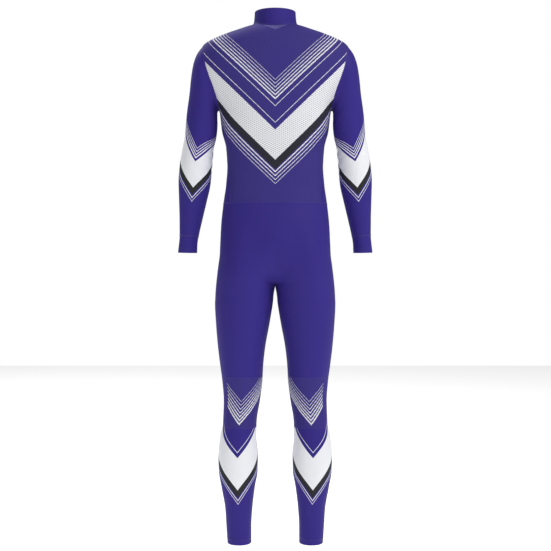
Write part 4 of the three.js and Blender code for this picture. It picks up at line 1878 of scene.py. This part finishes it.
@dataclass
class Seams:
    """Every line of sewing that shows."""

    hem: float = 0.014
    rim: float = 0.10
    zip_edge: float = 0.35

    def build(self) -> list[bpy.types.Object]:
        """Makes the sewing, one piece for each kind and thread.

        Returns:
            The objects, dressed and riding on the suit.
        """
        main = ThreadFinish("seam_thread", SEAM_THREAD)
        fine = ThreadFinish("hem_thread", HEM_THREAD)
        share = KNEE_MESH_SHARE
        joins = [
            Stitching(BACK_FORM, (1.0, 0.0), (1.0, SHOULDER_POINT), Seam.FLATLOCK),
            Stitching(BACK_FORM, (1.0, UNDERARM), (1.0, WAIST_SEAM), Seam.FLATLOCK),
            Stitching.ring(SLEEVE_FORM, 0.0, Seam.FLATLOCK),
            Stitching.ring(SLEEVE_FORM, CUFF_SEAM, Seam.FLATLOCK),
            Stitching(LEG_FORM, (0.0, WAIST_SEAM), (1.0, WAIST_SEAM), Seam.FLATLOCK),
            Stitching(LEG_FORM, (0.0, KNEE_TOP), (share, KNEE_TOP), Seam.FLATLOCK),
            Stitching(LEG_FORM, (0.0, KNEE_BOTTOM), (share, KNEE_BOTTOM), Seam.FLATLOCK),
            Stitching(LEG_FORM, (share, KNEE_TOP), (share, KNEE_BOTTOM), Seam.FLATLOCK),
        ]
        hems = [
            Stitching(LEG_FORM, (0.0, CROTCH), (0.0, ANKLE_HEM), Seam.COVERSTITCH),
            Stitching(SLEEVE_FORM, (0.5, 0.0), (0.5, CUFF_SEAM), Seam.COVERSTITCH),
            Stitching.ring(SLEEVE_FORM, SLEEVE_LENGTH - self.hem, Seam.COVERSTITCH),
            Stitching.ring(LEG_FORM, ANKLE_HEM + self.hem, Seam.COVERSTITCH),
            Stitching(
                ZIP_SIDE_FORM, (self.zip_edge, 0.0), (self.zip_edge, WAIST_SEAM), Seam.TOPSTITCH
            ),
        ]
        neck = [Stitching(COLLAR_FORM, (0.0, 0.0), (1.0, 0.0), Seam.FLATLOCK)]
        rim = [Stitching(COLLAR_FORM, (0.0, 1 - self.rim), (1.0, 1 - self.rim), Seam.TOPSTITCH)]
        return [
            Sewing("panel_seams", joins, main).build(),
            Sewing("hem_stitches", hems, fine).build(),
            Sewing("neck_seam", neck, main, paired=False).build(),
            Sewing("rim_stitches", rim, fine, paired=False).build(),
        ]


@dataclass(frozen=True)
class Lamp:
    """A square soft lamp: its place, its side in metres and its power in watts."""

    name: str
    place: tuple[float, float, float]
    size: float
    power: float


@dataclass
class Studio:
    """The pale floor, the soft light and the camera behind the suit."""

    floor_height: float = -1.53
    floor_size: float = 14.0
    camera_place: tuple[float, float, float] = (0.0008, -3.07, -0.7014)
    lens: float = 71.6
    sensor: float = 36.0
    ambient: float = 0.26
    behind: float = 1.0
    floor_glow: float = 0.45
    lights: tuple[Lamp, ...] = (
        Lamp("key", (3.0, -2.8, 4.2), 2.6, 235.0),
        Lamp("fill", (-2.2, -3.2, 0.8), 2.4, 4.0),
        Lamp("front", (-2.6, 3.0, 4.2), 2.6, 190.0),
    )

    def floor(self) -> None:
        """Lays the floor."""
        mesh = bmesh.new()
        bmesh.ops.create_grid(
            mesh, x_segments=8, y_segments=8, size=self.floor_size / 2,
            matrix=Matrix.Translation((0.0, 0.0, self.floor_height)),
        )
        graph = Graph("pale_floor")
        graph.shade(
            Base_Color=graph.mix(graph.noise(1.5, 2.0), *FLOOR_TONES),
            Roughness=0.9,
            Emission_Color=PLAIN_LIGHT,
            Emission_Strength=self.floor_glow,
            Specular_IOR_Level=0.0,
        )
        mesh_object("floor", mesh, graph.material)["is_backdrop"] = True

    def sky(self) -> None:
        """Sets the even soft light, and the plain white that shows behind the suit."""
        world = bpy.data.worlds.new("soft_white")
        bpy.context.scene.world = world
        world.use_nodes = True
        tree = Tree(world.node_tree)
        seen = tree.node("ShaderNodeLightPath", {}, {}).out("Is Camera Ray")
        glow, plain = (
            tree.node("ShaderNodeBackground", {}, {"Color": PLAIN_LIGHT, "Strength": strength}).out()
            for strength in (self.ambient, self.behind)
        )
        either = tree.node("ShaderNodeMixShader", {}, {0: seen, 1: glow, 2: plain}).out()
        tree.node("ShaderNodeOutputWorld", {}, {"Surface": either})

    def lamps(self) -> None:
        """Hangs the large soft lamps, each facing the middle of the suit."""
        middle = Vector((0.0, 0.0, self.camera_place[2]))
        for light in self.lights:
            lamp = bpy.data.lights.new(light.name, "AREA")
            lamp.energy = light.power
            lamp.size = light.size
            holder = bpy.data.objects.new(light.name, lamp)
            holder.location = light.place
            holder.rotation_euler = (middle - Vector(light.place)).to_track_quat("-Z", "Y").to_euler()
            bpy.context.scene.collection.objects.link(holder)

    def camera(self) -> None:
        """Stands the camera level behind the suit."""
        data = bpy.data.cameras.new("camera")
        data.lens = self.lens
        data.sensor_width = self.sensor
        holder = bpy.data.objects.new("camera", data)
        holder.location = self.camera_place
        holder.rotation_euler = (math.pi / 2, 0.0, 0.0)
        bpy.context.scene.collection.objects.link(holder)
        bpy.context.scene.camera = holder

    def build(self) -> None:
        """Sets up the floor, the light and the camera."""
        self.floor()
        self.sky()
        self.lamps()
        self.camera()
        bpy.context.scene.view_settings.view_transform = "Standard"


def corners() -> list[list[float]]:
    """Returns the shown object's lowest and highest corner."""
    return [list(corner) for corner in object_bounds()]


def main() -> None:
    """Builds the suit's looks round its frame."""
    logging.basicConfig(level=logging.INFO, format="%(message)s")
    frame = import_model()
    Studio().build()
    for part in (Trunk(), Sleeves(), Legs(), Zip(frame), Seams()):
        for piece in part.build():
            logging.info("%s: %d faces", piece.name, len(piece.data.polygons))
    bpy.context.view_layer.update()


if __name__ == "__main__":
    main()
